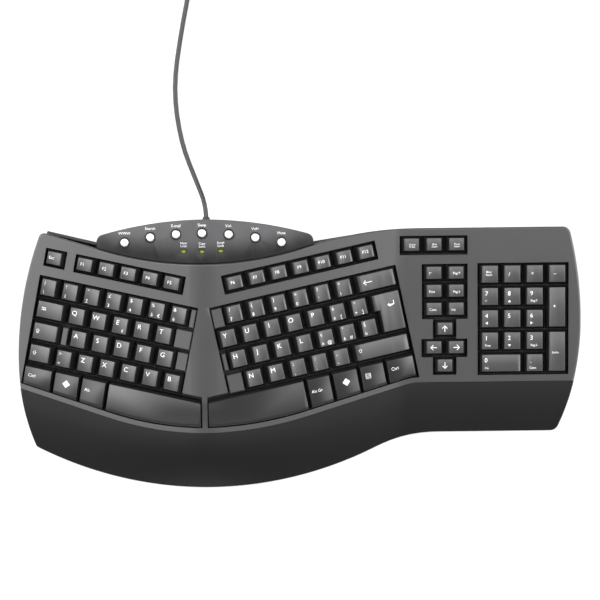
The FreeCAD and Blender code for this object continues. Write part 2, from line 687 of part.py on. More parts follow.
def stem_places(side):
    """Every stem of a field, as column and row."""
    places = []
    for field, kind, keys in KEYS.values():
        if field == side:
            places += [(column, key_row(side, row)) for column, row, width, depth in keys]
    for node, (field, spans) in THUMB_KEYS.items():
        if field == side:
            places += THUMB_STEMS[node]
    if side == "right":
        places.append(ENTER_STEM)
    return places


# Screw bosses: places seen from above, each in a strip between wells

COVER_BOSSES = [(-231.5, 45.0), (-140.0, 57.4), (0.0, 61.6), (97.5, 30.0), (147.9, 50.0),
                (235.2, 40.0)]
PALM_BOSSES = [(-160.0, -76.0), (-20.0, -80.0), (160.0, -48.0)]
INNER_TOP = size("shell_bottom") + size("floor_thickness")


def boss(x, y, radius, low, high):
    return Part.makeCylinder(radius, high - low, Vector(x, y, low))


def round_rim(block, plan, radius, front=-FAR, rear=FAR):
    """Rounds the upper edges of a block along its outline, between two places in depth."""
    upper = []
    for edge in block.Edges:
        middle = edge.valueAt((edge.FirstParameter + edge.LastParameter) / 2)
        box = edge.BoundBox
        level = math.hypot(box.XLength, box.YLength) > size("wall") / 8
        on_outline = Part.Vertex(flat(middle.x, middle.y)).distToShape(plan.OuterWire)[0] < NEAR
        if (level and on_outline and box.ZMin > size("parting_height") + NEAR
                and front < box.YMax and box.YMin < rear):
            upper.append(edge)
    return block.makeFillet(radius, upper)


def top_cover():
    wall = size("wall")
    outer = prism(COVER_PLAN, size("parting_height"), TALL).common(under_deck(0))
    outer = round_rim(outer, COVER_PLAN, size("cover_round"), front=0)
    outer = round_rim(outer, COVER_PLAN, size("joint_round"), rear=-size("joint_corner") / 2)
    inner = prism(shrink(COVER_PLAN, wall), 0, TALL).common(under_deck(wall))
    shell = outer.cut(inner)
    posts = [boss(x, y, size("boss_radius"), INNER_TOP, TALL) for x, y in COVER_BOSSES]
    roof = under_deck(wall / 2)
    shell = shell.fuse([post.common(roof) for post in posts])
    for side in FIELDS:
        shell = shell.cut(field_region(WELLS, side, 0, -FAR / 4, FAR / 4))
    bore = size("screw_radius") + size("bore_gap")
    bores = [boss(x, y, bore, 0, INNER_TOP + size("cover_bore")) for x, y in COVER_BOSSES]
    return shell.cut(Part.makeCompound(bores)).removeSplitter()


PALM_STEP = 10.0
PALM_SHARES = (-0.12, 0.0, 0.2, 0.4, 0.6, 0.8, 1.0, 1.12)


def palm_surface(drop):
    """Everything under the palm rest's rolled top, lowered by drop."""
    far_left, far_right, edges = joint_edges(0)
    front_y = flat(size("front_middle"), -size("half_depth") + size("front_radius"))
    count = 2 * math.ceil(size("half_length") * 1.1 / PALM_STEP)
    stations = [RIDGE % PALM_STEP + (number - count / 2) * PALM_STEP for number in range(count + 1)]
    grid = []
    for x in stations:
        probe = line(flat(x, -FAR), flat(x, FAR))
        joint = max(edge.distToShape(probe)[0] < 1e-6 and edge.distToShape(probe)[1][0][0].y
                    or -FAR for edge in edges)
        front = size("front_straight")
        if x < size("front_curve_end"):
            front = min(front, on_circle(front_y, size("front_radius"), x, -1).y)
        start = deck_height(x, joint)
        middle = math.exp(-((x - RIDGE) / size("palm_middle_spread")) ** 2)
        end = size("palm_front_height") + size("palm_middle_rise") * middle
        length = joint - front
        fall = start - end - PITCH * length
        column = []
        for share in PALM_SHARES:
            y = joint - share * length
            roll = fall * max(share, 0) ** 2
            column.append(Vector(x, y, start - PITCH * share * length - roll - drop))
        grid.append(column)
    surface = Part.BSplineSurface()
    surface.interpolate(grid)
    return surface.toShape().extrude(Vector(0, 0, -TALL))


def palm_rest():
    wall = size("wall")
    outer = prism(PALM_PLAN, size("parting_height"), TALL).common(palm_surface(0))
    outer = round_rim(outer, PALM_PLAN, size("joint_round"))
    inner = prism(shrink(PALM_PLAN, wall), 0, TALL).common(palm_surface(wall))
    shell = outer.cut(inner)
    roof = palm_surface(wall / 2)
    posts = [boss(x, y, size("boss_radius"), INNER_TOP, TALL).common(roof)
             for x, y in PALM_BOSSES]
    bore = size("screw_radius") + size("bore_gap")
    bores = [boss(x, y, bore, 0, INNER_TOP + size("palm_bore")) for x, y in PALM_BOSSES]
    return shell.fuse(posts).cut(Part.makeCompound(bores)).removeSplitter()


BUTTONS = [(-146.4, 96.0), (-124.4, 100.0), (-102.5, 102.2), (-80.6, 102.8), (-58.3, 101.7),
           (-36.1, 98.9), (-14.2, 94.9)]
LENSES = [(-96.3, 87.6), (-80.8, 87.2), (-65.2, 87.6)]
LEAN = Rotation(Vector(1, 0, 0), size("pitch_angle"))
BORE = 20.0


def on_deck(shape, x, y, drop=0.0):
    """Stands a shape on the pitched deck at a place."""
    moved = shape.copy()
    moved.Placement = Placement(Vector(x, y, deck_height(x, y) - drop), LEAN)
    return moved


def media_panel():
    drop = size("panel_drop")
    wall = size("panel_wall")
    low = under_deck(size("rear_wall_drop"))
    outer = prism(PANEL_PLAN, size("parting_height"), TALL).common(under_deck(drop)).cut(low)
    outer = round_rim(outer, PANEL_PLAN, size("panel_round"))
    inner = prism(shrink(PANEL_PLAN, wall), 0, TALL).common(under_deck(drop + wall))
    shell = outer.cut(inner)
    ring = Part.makeCylinder(size("bezel_radius"), size("bezel_depth"))
    reach = size("bezel_rise") - drop
    bezels = [on_deck(ring, x, y, size("bezel_depth") - reach) for x, y in BUTTONS]
    shell = shell.fuse(bezels)
    hole = Part.makeCylinder(size("button_radius") + size("button_gap"), BORE,
                             Vector(0, 0, -BORE / 2))
    long = size("lens_length") + 2 * size("lens_gap")
    wide = size("lens_width") + 2 * size("lens_gap")
    slot = Part.makeBox(long, wide, BORE, Vector(-long / 2, -wide / 2, -BORE / 2))
    cuts = [on_deck(hole, x, y) for x, y in BUTTONS]
    cuts += [on_deck(slot, x, y) for x, y in LENSES]
    return shell.cut(Part.makeCompound(cuts)).removeSplitter()


def key_frame(side):
    """Black tray under one key field: floor, rims round the wells and chimneys."""
    rim = size("rim_wall")
    wall = size("wall")
    cavity = prism(shrink(COVER_PLAN, wall + size("inner_gap")), 0, TALL)
    cavity = cavity.common(under_deck(wall))
    tray = field_region(WELLS, side, rim, FLOOR - size("frame_floor"), size("rim_rise"))
    plate = field_region(PLATES, side, 0, FLOOR - size("frame_floor"), FLOOR)
    skirt = field_region(PLATES, side, 0, SHEET_TOP, FLOOR)
    skirt = skirt.cut(field_region(PLATES, side, -rim, SHEET_TOP, FLOOR))
    wells = field_region(WELLS, side, 0, FLOOR, size("rim_rise") + size("rim_over"))
    frame = tray.cut(wells).fuse([plate, skirt])
    frame = frame.common(cavity)
    inside = size("stem_size") + 2 * size("stem_gap")
    outside = inside + 2 * size("chimney_wall")
    head = SKIRT + size("cap_roof") + size("chimney_gap")
    corner = Vector(-outside / 2, -outside / 2, FLOOR)
    chimney = Part.makeBox(outside, outside, head - FLOOR, corner)
    thumb_chimney = Part.makeBox(outside, outside, head - size("thumb_chimney_drop") - FLOOR, corner)
    bore = Part.makeBox(inside, inside, BORE,
                        Vector(-inside / 2, -inside / 2, FLOOR - BORE / 2))
    places = stem_places(side)
    thumbs = [place for node, (field, _) in THUMB_KEYS.items() if field == side
              for place in THUMB_STEMS[node]]
    frame = frame.fuse([put(thumb_chimney if place in thumbs else chimney, side, *place)
                        for place in places])
    frame = frame.cut(Part.makeCompound([put(bore, side, *place) for place in places]))
    return frame.cut(Part.makeCompound(boss_holes())).removeSplitter()


def boss_holes():
    radius = size("boss_radius") + size("inner_gap")
    return [boss(x, y, radius, 0, TALL) for x, y in COVER_BOSSES]


def layer(low, high):
    """One flat sheet under each key field."""
    cavity = prism(shrink(COVER_PLAN, size("wall") + size("inner_gap")), 0, TALL)
    sheets = []
    for side in FIELDS:
        sheet_solid = field_region(PLATES, side, 0, low, high).common(cavity)
        sheets.append(sheet_solid.cut(Part.makeCompound(boss_holes())))
    return sheets


def dome_sheets():
    """Rubber sheets with a dome under each stem."""
    half = size("dome_size") / 2
    tip = size("stem_size") / 2
    dome = Part.makeLoft([rectangle(2 * half, 2 * half, SHEET_TOP),
                          rectangle(2 * tip, 2 * tip, STEM_END - size("dome_gap"))], True, True)
    sheets = []
    for side, sheet_solid in zip(FIELDS, layer(SHEET_LOW, SHEET_TOP)):
        domes = [put(dome, side, *place) for place in stem_places(side)]
        sheets.append(sheet_solid.fuse(domes))
    return Part.makeCompound(sheets)


FILLERS = {
    "left": [(7.00, -0.36, 7.22, 0.45), (6.50, 0.62, 7.22, 1.45), (6.75, 1.62, 7.22, 2.41),
             (1.44, 1.62, 1.70, 2.42)],
    "right": [(6.52, -0.36, 6.99, 0.48), (6.55, 1.66, 6.73, 2.42), (6.56, 2.64, 7.23, 3.46)],
}


def filler_caps():
    """Fixed blocks that fill the ends of rows."""
    blocks = []
    for side, areas in FILLERS.items():
        for area in areas:
            left, rear = field_xy(side, area[0], area[1])
            right, front = field_xy(side, area[2], area[3])
            wide, deep = right - left, rear - front
            block = Part.makeBox(wide, deep, size("filler_height") - FLOOR,
                                 Vector(left, front, FLOOR))
            top = [edge for edge in block.Edges if edge.BoundBox.ZMin > 0]
            blocks.append(put(block.makeChamfer(size("filler_bevel"), top), side))
    return Part.makeCompound(blocks)


RIBS = (-140.0, -112.0, -28.0, -10.0)
OVERLAP = 0.5


def bottom_shell():
    wall = size("wall")
    low, top = size("shell_bottom"), size("parting_height")
    keel = prism(WHOLE, low, low + size("shell_bevel") + OVERLAP)
    under = [edge for edge in keel.Edges if edge.BoundBox.ZMax < low + NEAR]
    keel = keel.makeChamfer(size("shell_bevel"), under)
    outer = prism(BASE_PLAN, low + size("shell_bevel"), top)
    outer = outer.fuse([keel, prism(BASE_PLAN.cut(WHOLE), low + OVERLAP, top)])
    inner_plan = shrink(BASE_PLAN, wall)
    shell = outer.cut(prism(inner_plan, INNER_TOP, TALL))
    zone = BASE_PLAN.cut(WHOLE)
    upper = prism(zone, top - OVERLAP, TALL).common(under_deck(size("rear_wall_drop")))
    shell = shell.fuse(upper.cut(prism(inner_plan, INNER_TOP, TALL)))
    shelf = under_deck(size("strip_drop") + size("strip_thickness"))
    hollow = flat(RIDGE, size("rear_hollow_low") + size("rear_hollow"))
    ribs = []
    for x in RIBS:
        front = on_circle(hollow, size("rear_hollow"), x + size("rib_thickness"), -1).y
        front = max(front + size("inner_gap"), size("rib_front"))
        rib = Part.makeBox(size("rib_thickness"), size("rib_length"), TALL,
                           Vector(x, front, INNER_TOP - OVERLAP))
        ribs.append(rib.common(shelf))
    posts = [boss(x, y, size("post_radius"), INNER_TOP - OVERLAP, size("board_height"))
             for x, y in board_corners()]
    shell = shell.fuse(ribs + posts)
    flap_gap = size("flap_gap")
    for sign in (-1, 1):
        shell = shell.fuse(flap_pocket(sign, wall)).cut(flap_pocket(sign, 0))
        half = size("flap_width") / 2 + flap_gap + wall - size("pin_cover")
        start = Vector(sign * size("flap_place") - half, size("flap_rear"), flap_axis_height())
        shell = shell.cut(Part.makeCylinder(size("flap_pin") + flap_gap, 2 * half, start,
                                            Vector(1, 0, 0)))
    holes = []
    for x, y in COVER_BOSSES + PALM_BOSSES:
        gap = size("screw_hole_gap")
        holes.append(boss(x, y, size("screw_radius") + gap, 0, INNER_TOP + OVERLAP))
        holes.append(boss(x, y, size("screw_head") + gap, 0, low + size("head_seat")))
    exit_start = Vector(size("exit_place"), size("half_depth") - BORE, size("exit_height"))
    holes.append(Part.makeCylinder(size("grommet_radius") - size("grommet_step"), 2 * BORE,
                                   exit_start, Vector(0, 1, 0)))
    return shell.cut(Part.makeCompound(holes)).removeSplitter()


def flap_axis_height():
    return size("shell_bottom") + size("flap_gap") + size("flap_thickness") / 2


def flap_pocket(sign, grow):
    """Recess under the shell that a folded foot lies in."""
    gap = size("flap_gap")
    wide = size("flap_width") + 2 * gap + 2 * grow
    long = size("flap_length") + size("flap_thickness") + 2 * gap + 2 * grow
    tall = size("flap_thickness") + 2 * gap + grow
    front = size("flap_rear") - size("flap_length") - size("flap_thickness") / 2 - gap - grow
    base = size("shell_bottom") if grow else 0.0
    rise = tall + (0 if grow else size("shell_bottom"))
    return Part.makeBox(wide, long, rise,
                        Vector(sign * size("flap_place") - wide / 2, front, base))


def board_corners():
    half = size("board_length") / 2 - size("post_inset")
    deep = size("board_width") / 2 - size("post_inset")
    return [(size("board_place") + x, size("board_rear") + y)
            for x in (-half, half) for y in (-deep, deep)]


BOARD_BAND = [(-156.0, 84.0), (-4.0, 84.0), (-4.0, 106.0), (-156.0, 106.0)]


def hotkey_board():
    """Flexible strip under the buttons, with a switch below each."""
    drop = size("strip_drop")
    band = polygon([flat(x, y) for x, y in BOARD_BAND])
    band = band.common(shrink(PANEL_PLAN, size("panel_wall") + size("strip_gap"))).Faces[0]
    strip = prism(band, 0, TALL).common(under_deck(drop))
    strip = strip.cut(under_deck(drop + size("strip_thickness")))
    side, sink = size("switch_size"), size("switch_sink")
    switch = Part.makeBox(side, side, size("switch_height") + sink,
                          Vector(-side / 2, -side / 2, -sink))
    return strip.fuse([on_deck(switch, x, y, drop) for x, y in BUTTONS]).removeSplitter()


# Bodies made from sketches

def new_body(node):
    body = doc.addObject("PartDesign::Body", node)
    body.Label = node
    return body


def new_sketch(body, name, role="XY_Plane"):
    plane = next(item for item in body.Origin.OriginFeatures if item.Role == role)
    sketch = body.newObject("Sketcher::SketchObject", name)
    sketch.AttachmentSupport = [(plane, "")]
    sketch.MapMode = "FlatFace"
    return sketch


def add_rectangle(sketch, left, low, width, height):
    """Rectangle whose corner and size follow expressions."""
    first = sketch.GeometryCount
    corners = [flat(0, 0), flat(10, 0), flat(10, 5), flat(0, 5)]
    for index in range(4):
        sketch.addGeometry(Part.LineSegment(corners[index], corners[(index + 1) % 4]))
    for index in range(4):
        sketch.addConstraint(Sketcher.Constraint(
            "Coincident", first + index, 2, first + (index + 1) % 4, 1))
    for index, way in enumerate(("Horizontal", "Vertical", "Horizontal", "Vertical")):
        sketch.addConstraint(Sketcher.Constraint(way, first + index))
    for way, one, end, other, other_end, rule in (
            ("DistanceX", first, 1, first, 2, width),
            ("DistanceY", first + 1, 1, first + 1, 2, height),
            ("DistanceX", -1, 1, first, 1, left), ("DistanceY", -1, 1, first, 1, low)):
        number = sketch.addConstraint(Sketcher.Constraint(way, one, end, other, other_end, 5.0))
        sketch.setExpression("Constraints[%d]" % number, rule)


def add_circle(sketch, radius, x="0", y="0"):
    index = sketch.addGeometry(Part.Circle(flat(1, 1), Vector(0, 0, 1), 2.0))
    number = sketch.addConstraint(Sketcher.Constraint("Radius", index, 2.0))
    sketch.setExpression("Constraints[%d]" % number, radius)
    for way, rule in (("DistanceX", x), ("DistanceY", y)):
        number = sketch.addConstraint(Sketcher.Constraint(way, -1, 1, index, 3, 1.0))
        sketch.setExpression("Constraints[%d]" % number, rule)


def add_pad(body, sketch, name, length, midplane=False, reverse=False):
    pad = body.newObject("PartDesign::Pad", name)
    pad.Profile = sketch
    pad.setExpression("Length", length)
    pad.Midplane = midplane
    pad.Reversed = reverse
    doc.recompute()
    return pad


def add_fillet(body, base, name, radius, picked):
    """Rounds the edges of a feature that picked accepts."""
    names = ["Edge%d" % (index + 1) for index, edge in enumerate(base.Shape.Edges)
             if picked(edge)]
    fillet = body.newObject("PartDesign::Fillet", name)
    fillet.Base = (base, names)
    fillet.setExpression("Radius", radius)
    doc.recompute()
    return fillet


def upright(edge):
    """True for an edge that climbs."""
    return abs(edge.Vertexes[0].Z - edge.Vertexes[-1].Z) > OVERLAP


def rubber_feet():
    """Six pads, two rows of three."""
    body = new_body("rubber_feet")
    sketch = new_sketch(body, "foot_outline")
    for row in ("0", "sizes.foot_rows"):
        add_rectangle(sketch, "-sizes.foot_spacing - sizes.foot_length / 2",
                      row + " - sizes.foot_width / 2", "sizes.foot_length", "sizes.foot_width")
    pad = add_pad(body, sketch, "foot_pad", "sizes.shell_bottom")
    fillet = add_fillet(body, pad, "foot_round", "sizes.foot_round", upright)
    across = body.newObject("PartDesign::LinearPattern", "foot_columns")
    across.Originals = [pad, fillet]
    across.Direction = (sketch, ["H_Axis"])
    across.setExpression("Length", "2 * sizes.foot_spacing")
    across.Occurrences = 3
    body.Tip = across
    body.Placement = Placement(Vector(0, size("foot_front"), 0), Rotation())
    doc.recompute()
    return body


def tilt_foot(node, sign):
    """Flip-out rear foot with a rounded heel and a pin at each end of its axle line."""
    body = new_body(node)
    outline = new_sketch(body, node + "_outline")
    add_rectangle(outline, "-sizes.flap_width / 2", "-sizes.flap_length",
                  "sizes.flap_width", "sizes.flap_length + sizes.flap_thickness / 2")
    pad = add_pad(body, outline, node + "_plate", "sizes.flap_thickness", midplane=True)
    heel = add_fillet(
        body, pad, node + "_heel", "sizes.heel_round",
        lambda edge: edge.BoundBox.YMin > 0 and edge.BoundBox.XLength > size("flap_width") / 2)
    pins = new_sketch(body, node + "_axle", "YZ_Plane")
    add_circle(pins, "sizes.flap_pin")
    add_pad(body, pins, node + "_pins",
            "sizes.flap_width + 2 * (sizes.flap_gap + sizes.wall - sizes.pin_cover - sizes.pin_end_gap)",
            midplane=True)
    grip = new_sketch(body, node + "_grip")
    add_rectangle(grip, "-sizes.flap_width / 6", "-sizes.flap_length", "sizes.flap_width / 3",
                  "sizes.grip_depth")
    notch = body.newObject("PartDesign::Pocket", node + "_notch")
    notch.Profile = grip
    notch.Midplane = True
    notch.setExpression("Length", "2 * sizes.flap_thickness")
    body.Placement = Placement(
        Vector(sign * size("flap_place"), size("flap_rear"), flap_axis_height()), Rotation())
    doc.recompute()
    return body


def controller_board():
    body = new_body("controller_board")
    outline = new_sketch(body, "board_outline")
    add_rectangle(outline, "-sizes.board_length / 2", "-sizes.board_width / 2",
                  "sizes.board_length", "sizes.board_width")
    board = add_pad(body, outline, "board_plate", "sizes.board_thickness")
    chip = new_sketch(body, "chip_outline")
    add_rectangle(chip, "-sizes.chip_size / 2", "-sizes.chip_size / 2", "sizes.chip_size",
                  "sizes.chip_size")
    add_pad(body, chip, "chip", "sizes.board_thickness + sizes.chip_height")
    header = new_sketch(body, "header_outline")
    add_rectangle(header, "-sizes.header_place", "sizes.header_rear", "sizes.header_length",
                  "sizes.header_width")
    add_pad(body, header, "cable_header", "sizes.board_thickness + sizes.header_height")
    body.Placement = Placement(
        Vector(size("board_place"), size("board_rear"), size("board_height")), Rotation())
    doc.recompute()
    return body


def plug_body():
    body = new_body("usb_plug_body")
    outline = new_sketch(body, "plug_outline")
    add_rectangle(outline, "-sizes.plug_width / 2", "-sizes.plug_length",
                  "sizes.plug_width", "sizes.plug_length")
    pad = add_pad(body, outline, "plug_block", "sizes.plug_thickness", midplane=True)
    add_fillet(body, pad, "plug_shoulder", "sizes.plug_shoulder",
               lambda edge: upright(edge) and edge.BoundBox.YMin > -1)
    doc.recompute()
    return body


def plug_shell():
    body = new_body("usb_plug_shell")
    outline = new_sketch(body, "contact_outline")
    add_rectangle(outline, "-sizes.contact_width / 2", "-sizes.plug_length - sizes.contact_length",
                  "sizes.contact_width", "sizes.contact_length")
    add_pad(body, outline, "contact_block", "sizes.contact_thickness", midplane=True)
    hollow = new_sketch(body, "contact_hollow", "XZ_Plane")
    add_rectangle(hollow, "-sizes.contact_width / 2 + sizes.contact_wall",
                  "-sizes.contact_thickness / 2 + sizes.contact_wall",
                  "sizes.contact_width - 2 * sizes.contact_wall",
                  "sizes.contact_thickness / 2 - sizes.contact_wall")
    pocket = body.newObject("PartDesign::Pocket", "contact_mouth")
    pocket.Profile = hollow
    pocket.Midplane = True
    pocket.setExpression("Length", "2 * (sizes.plug_length + sizes.contact_length)")
    doc.recompute()
    return body


def lens_group():
    """Three status lenses set into the panel."""
    length, width, depth = size("lens_length"), size("lens_width"), size("lens_depth")
    lens = Part.makeBox(length, width, depth, Vector(-length / 2, -width / 2, -depth))
    top = [edge for edge in lens.Edges if edge.BoundBox.ZMin > -NEAR]
    lens = lens.makeFillet(size("lens_round"), top)
    drop = size("panel_drop") - size("lens_stand")
    return Part.makeCompound([on_deck(lens, x, y, drop) for x, y in LENSES])


def button_group():
    """Domed buttons with a flange that keeps each one in its bezel."""
    radius = size("button_radius")
    stand = size("button_stand")
    flange = size("button_flange")
    low = (size("switch_height") + size("button_travel") + size("button_gap")
           - size("strip_drop"))
    flange_top = -size("panel_drop") - size("panel_wall") - size("flange_gap")
    flange_low = flange_top - size("flange_thickness")
    plunger = size("plunger_radius")
    crown = size("button_crown")
    side = [flat(0, low), flat(plunger, low), flat(plunger, flange_low),
            flat(flange, flange_low), flat(flange, flange_top), flat(radius, flange_top),
            flat(radius, stand - crown)]
    edges = [line(side[index], side[index + 1]) for index in range(len(side) - 1)]
    ball = (radius ** 2 + crown ** 2) / (2 * crown)
    edges.append(arc(side[-1], flat(0, stand), flat(0, stand - ball)))
    edges.append(line(flat(0, stand), side[0]))
    face = Part.Face(Part.Wire(edges))
    face.rotate(Vector(0, 0, 0), Vector(1, 0, 0), 90)
    button = face.revolve(Vector(0, 0, 0), Vector(0, 0, 1), 360)
    return Part.makeCompound([on_deck(button, x, y) for x, y in BUTTONS])


def screw_group():
    """Self-tapping screws, driven from below into the bosses."""
    head, radius = size("screw_head"), size("screw_radius")
    base = size("shell_bottom") + size("head_seat")
    under = base - size("head_height")
    end = base + size("screw_length")
    tip = radius * size("screw_tip")
    profile = [flat(0, under), flat(head * size("screw_dome"), under),
               flat(head, base - size("head_rim")), flat(head, base), flat(radius, base),
               flat(radius, end - size("screw_point")), flat(tip, end), flat(0, end)]
    face = polygon(profile)
    face.rotate(Vector(0, 0, 0), Vector(1, 0, 0), 90)
    screw = face.revolve(Vector(0, 0, 0), Vector(0, 0, 1), 360)
    screws = []
    for x, y in COVER_BOSSES + PALM_BOSSES:
        one = screw.copy()
        one.translate(Vector(x, y, 0))
        screws.append(one)
    return Part.makeCompound(screws)


def base_rear():
    """Rear face of the lower housing where the cable leaves it."""
    middle = flat(size("panel_middle"), size("half_depth") - size("panel_radius"))
    return on_circle(middle, size("panel_radius"), size("exit_place"), 1).y


def grommet():
    """Strain relief with a flange inside the housing's rear wall."""
    outer = size("grommet_radius")
    core = outer - size("grommet_step")
    wall, flange = size("wall"), size("grommet_flange")
    length, gap = size("grommet_length"), size("grommet_gap")
    bore = size("cable_diameter") / 2
    profile = [flat(bore, -wall - flange), flat(outer, -wall - flange), flat(outer, -wall),
               flat(core, -wall), flat(core, gap), flat(outer, gap), flat(outer, flange),
               flat(bore + size("grommet_lip"), length), flat(bore, length)]
    face = polygon(profile)
    collar = face.revolve(Vector(0, 0, 0), Vector(0, 1, 0), 360)
    collar.translate(Vector(size("exit_place"), base_rear(), size("exit_height")))
    return collar


# Cable: its loose stretch, the put-away coil and the tail that ends in the plug

CABLE_RADIUS = size("cable_diameter") / 2
LIFT = 0.05
REST = CABLE_RADIUS + LIFT
COIL_REST = REST + size("tie_thickness") + 2 * LIFT
LAYER_STEP = size("coil_pitch")
COIL_LAYERS = 4
LAYER_TURNS = 2.8125
CLIMB_TURNS = 0.5
COIL_SIDES = 8
CORD_SIDES = 12


def coil_point(turn):
    """Middle of the cable after a number of turns, counted from the outer, lower end."""
    layer_index = min(int(turn / LAYER_TURNS), COIL_LAYERS - 1)
    within = turn - layer_index * LAYER_TURNS
    inward = within if layer_index % 2 else LAYER_TURNS - within
    radius = size("coil_radius") + size("coil_pitch") * inward
    height = COIL_REST
    for number in range(1, COIL_LAYERS):
        share = (turn - number * LAYER_TURNS) / CLIMB_TURNS + 0.5
        share = min(max(share, 0.0), 1.0)
        height += LAYER_STEP * share * share * (3 - 2 * share)
    angle = math.pi - 2 * math.pi * turn
    return Vector(size("coil_place") + radius * math.cos(angle),
                  size("coil_rear") + radius * math.sin(angle), height)


def coil_heading(turn):
    step = 0.01
    total = COIL_LAYERS * LAYER_TURNS
    heading = coil_point(min(turn + step, total)).sub(coil_point(max(turn - step, 0)))
    heading.normalize()
    return heading


def tangent_arc(start, heading, end):
    """Arc from start, leaving along heading, to end."""
    chord = end.sub(start)
    length = chord.Length
    along = chord * (1 / length)
    cosine = max(-1.0, min(1.0, along.dot(heading)))
    across = heading.sub(along * cosine)
    if across.Length < 1e-6:
        return line(start, end)
    across.normalize()
    bulge = length / 2 * math.tan(math.acos(cosine) / 2)
    middle = start.add(end).multiply(0.5).add(across * bulge)
    return Part.Arc(start, middle, end).toShape()


def biarc(start, first, end, second):
    """Two arcs that leave start along first and reach end along second."""
    chord = end.sub(start)
    both = first.add(second)
    tight = 2 * (1 - first.dot(second))
    reach = chord.dot(both)
    distance = (-reach + math.sqrt(reach ** 2 + tight * chord.dot(chord))) / tight
    meet = start.add(end).add(first.sub(second) * distance).multiply(0.5)
    one = tangent_arc(start, first, meet)
    other = tangent_arc(end, second * -1, meet)
    return [one, other]


def section(point, heading, radius, sides):
    """Faceted cable section square to its heading."""
    side = heading.cross(Vector(0, 0, 1))
    side.normalize()
    top = side.cross(heading)
    corners = []
    for number in range(sides):
        angle = 2 * math.pi * (number + 0.5) / sides
        corners.append(point.add(side * (radius * math.cos(angle)))
                       .add(top * (radius * math.sin(angle))))
    return Part.makePolygon(corners + [corners[0]])


def swept(edges, point, heading, radius, sides):
    """Solid swept by a faceted section along joined edges."""
    pipe = Part.BRepOffsetAPI.MakePipeShell(Part.Wire(edges))
    pipe.add(section(point, heading, radius, sides))
    pipe.build()
    pipe.makeSolid()
    return pipe.shape()


def coil():
    """Wound cable: spirals in and out in four layers."""
    total = COIL_LAYERS * LAYER_TURNS
    count = int(total * 4)
    turns = [total * number / count for number in range(count + 1)]
    edges = []
    start_heading = coil_heading(0)
    start_heading.z = 0
    start_heading.normalize()
    end_heading = coil_heading(total)
    end_heading.z = 0
    end_heading.normalize()
    headings = [coil_heading(turn) for turn in turns]
    headings[0], headings[-1] = start_heading, end_heading
    first = coil_point(0)
    lead = first.sub(start_heading * size("cable_diameter"))
    edges.append(line(lead, first))
    for number in range(count):
        edges += biarc(coil_point(turns[number]), headings[number],
                       coil_point(turns[number + 1]), headings[number + 1])
    last = coil_point(total)
    tail = last.add(end_heading * size("cable_diameter"))
    edges.append(line(last, tail))
    solid = swept(edges, lead, start_heading, CABLE_RADIUS, COIL_SIDES)
    length = sum(edge.Length for edge in edges)
    return {"solid": solid, "start": lead, "end": tail, "length": length, "edges": edges}


def least_gap(edges):
    """Smallest clear distance between turns, measured on points along the middle line."""
    points = []
    for edge in edges:
        for number in range(6):
            points.append(edge.valueAt(edge.FirstParameter + (edge.LastParameter
                                       - edge.FirstParameter) * number / 6))
    least = FAR
    skip = 24
    for index, point in enumerate(points):
        for other in points[index + skip:]:
            least = min(least, point.distanceToPoint(other))
    return least - size("cable_diameter")


def rounded_run(points, name):
    """Straight runs joined by arcs as large as the runs allow."""
    edges = []
    last = points[0]
    for index in range(1, len(points) - 1):
        before = points[index].sub(points[index - 1])
        after = points[index + 1].sub(points[index])
        shorter = min(before.Length, after.Length)
        turn = before.getAngle(after)
        cut = 0.45 * shorter
        radius = cut / math.tan(turn / 2)
        print("%s: radius at point %d is %.1f, turn %.0f degrees, run %.1f"
              % (name, index, radius, math.degrees(turn), before.Length))
        before.normalize()
        after.normalize()
        start = points[index].sub(before * cut)
        end = points[index].add(after * cut)
        edges.append(line(last, start))
        edges.append(tangent_arc(start, before, end))
        last = end
    edges.append(line(last, points[-1]))
    heading = points[1].sub(points[0])
    heading.normalize()
    solid = swept(edges, points[0], heading, CABLE_RADIUS, CORD_SIDES)
    length = sum(edge.Length for edge in edges)
    area = CORD_SIDES / 2 * math.sin(2 * math.pi / CORD_SIDES) * CABLE_RADIUS ** 2
    print("%s: length %.1f, volume %.1f, section times length %.1f"
          % (name, length, solid.Volume, area * length))
    return solid, length


def cable_tie():
    """Band round the coil's turns, on the side away from the loose stretch."""
    thick, gap = size("tie_thickness"), size("tie_gap")
    inner = size("coil_radius") - CABLE_RADIUS - gap
    outer = size("coil_radius") + size("coil_pitch") * LAYER_TURNS + CABLE_RADIUS + gap
    height = COIL_REST + LAYER_STEP * (COIL_LAYERS - 1) + CABLE_RADIUS + gap
    place = Vector(size("coil_place"), size("coil_rear") - size("tie_width") / 2, 0)
    block = Part.makeBox(outer - inner + 2 * thick, size("tie_width"), height + thick - LIFT,
                         place.add(Vector(inner - thick, 0, LIFT)))
    hole = Part.makeBox(outer - inner, 2 * size("tie_width"), height - thick - LIFT,
                        place.add(Vector(inner, -thick, thick + LIFT)))
    return block.cut(hole)


COIL = coil()
COIL_GAP = least_gap(COIL["edges"])
print("coil: length %.1f, least gap between turns %.2f" % (COIL["length"], COIL_GAP))
EXIT = Vector(size("exit_place"), base_rear() + size("grommet_length"), size("exit_height"))
CORD_ROUTE = [EXIT, Vector(-79.6, 129.5, 12.0), Vector(-87.5, 149.0, 5.0),
              Vector(-101.0, 184.0, REST), Vector(-107.0, 231.0, REST),
              Vector(-99.5, 280.0, REST), Vector(-91.6, 318.0, REST + 0.4), COIL["start"]]
TAIL_ROUTE = [COIL["end"], COIL["end"].add(Vector(12, 0, 0)),
              COIL["end"].add(Vector(38, -2, 3.9 - COIL["end"].z)),
              COIL["end"].add(Vector(54, -3, 3.9 - COIL["end"].z))]


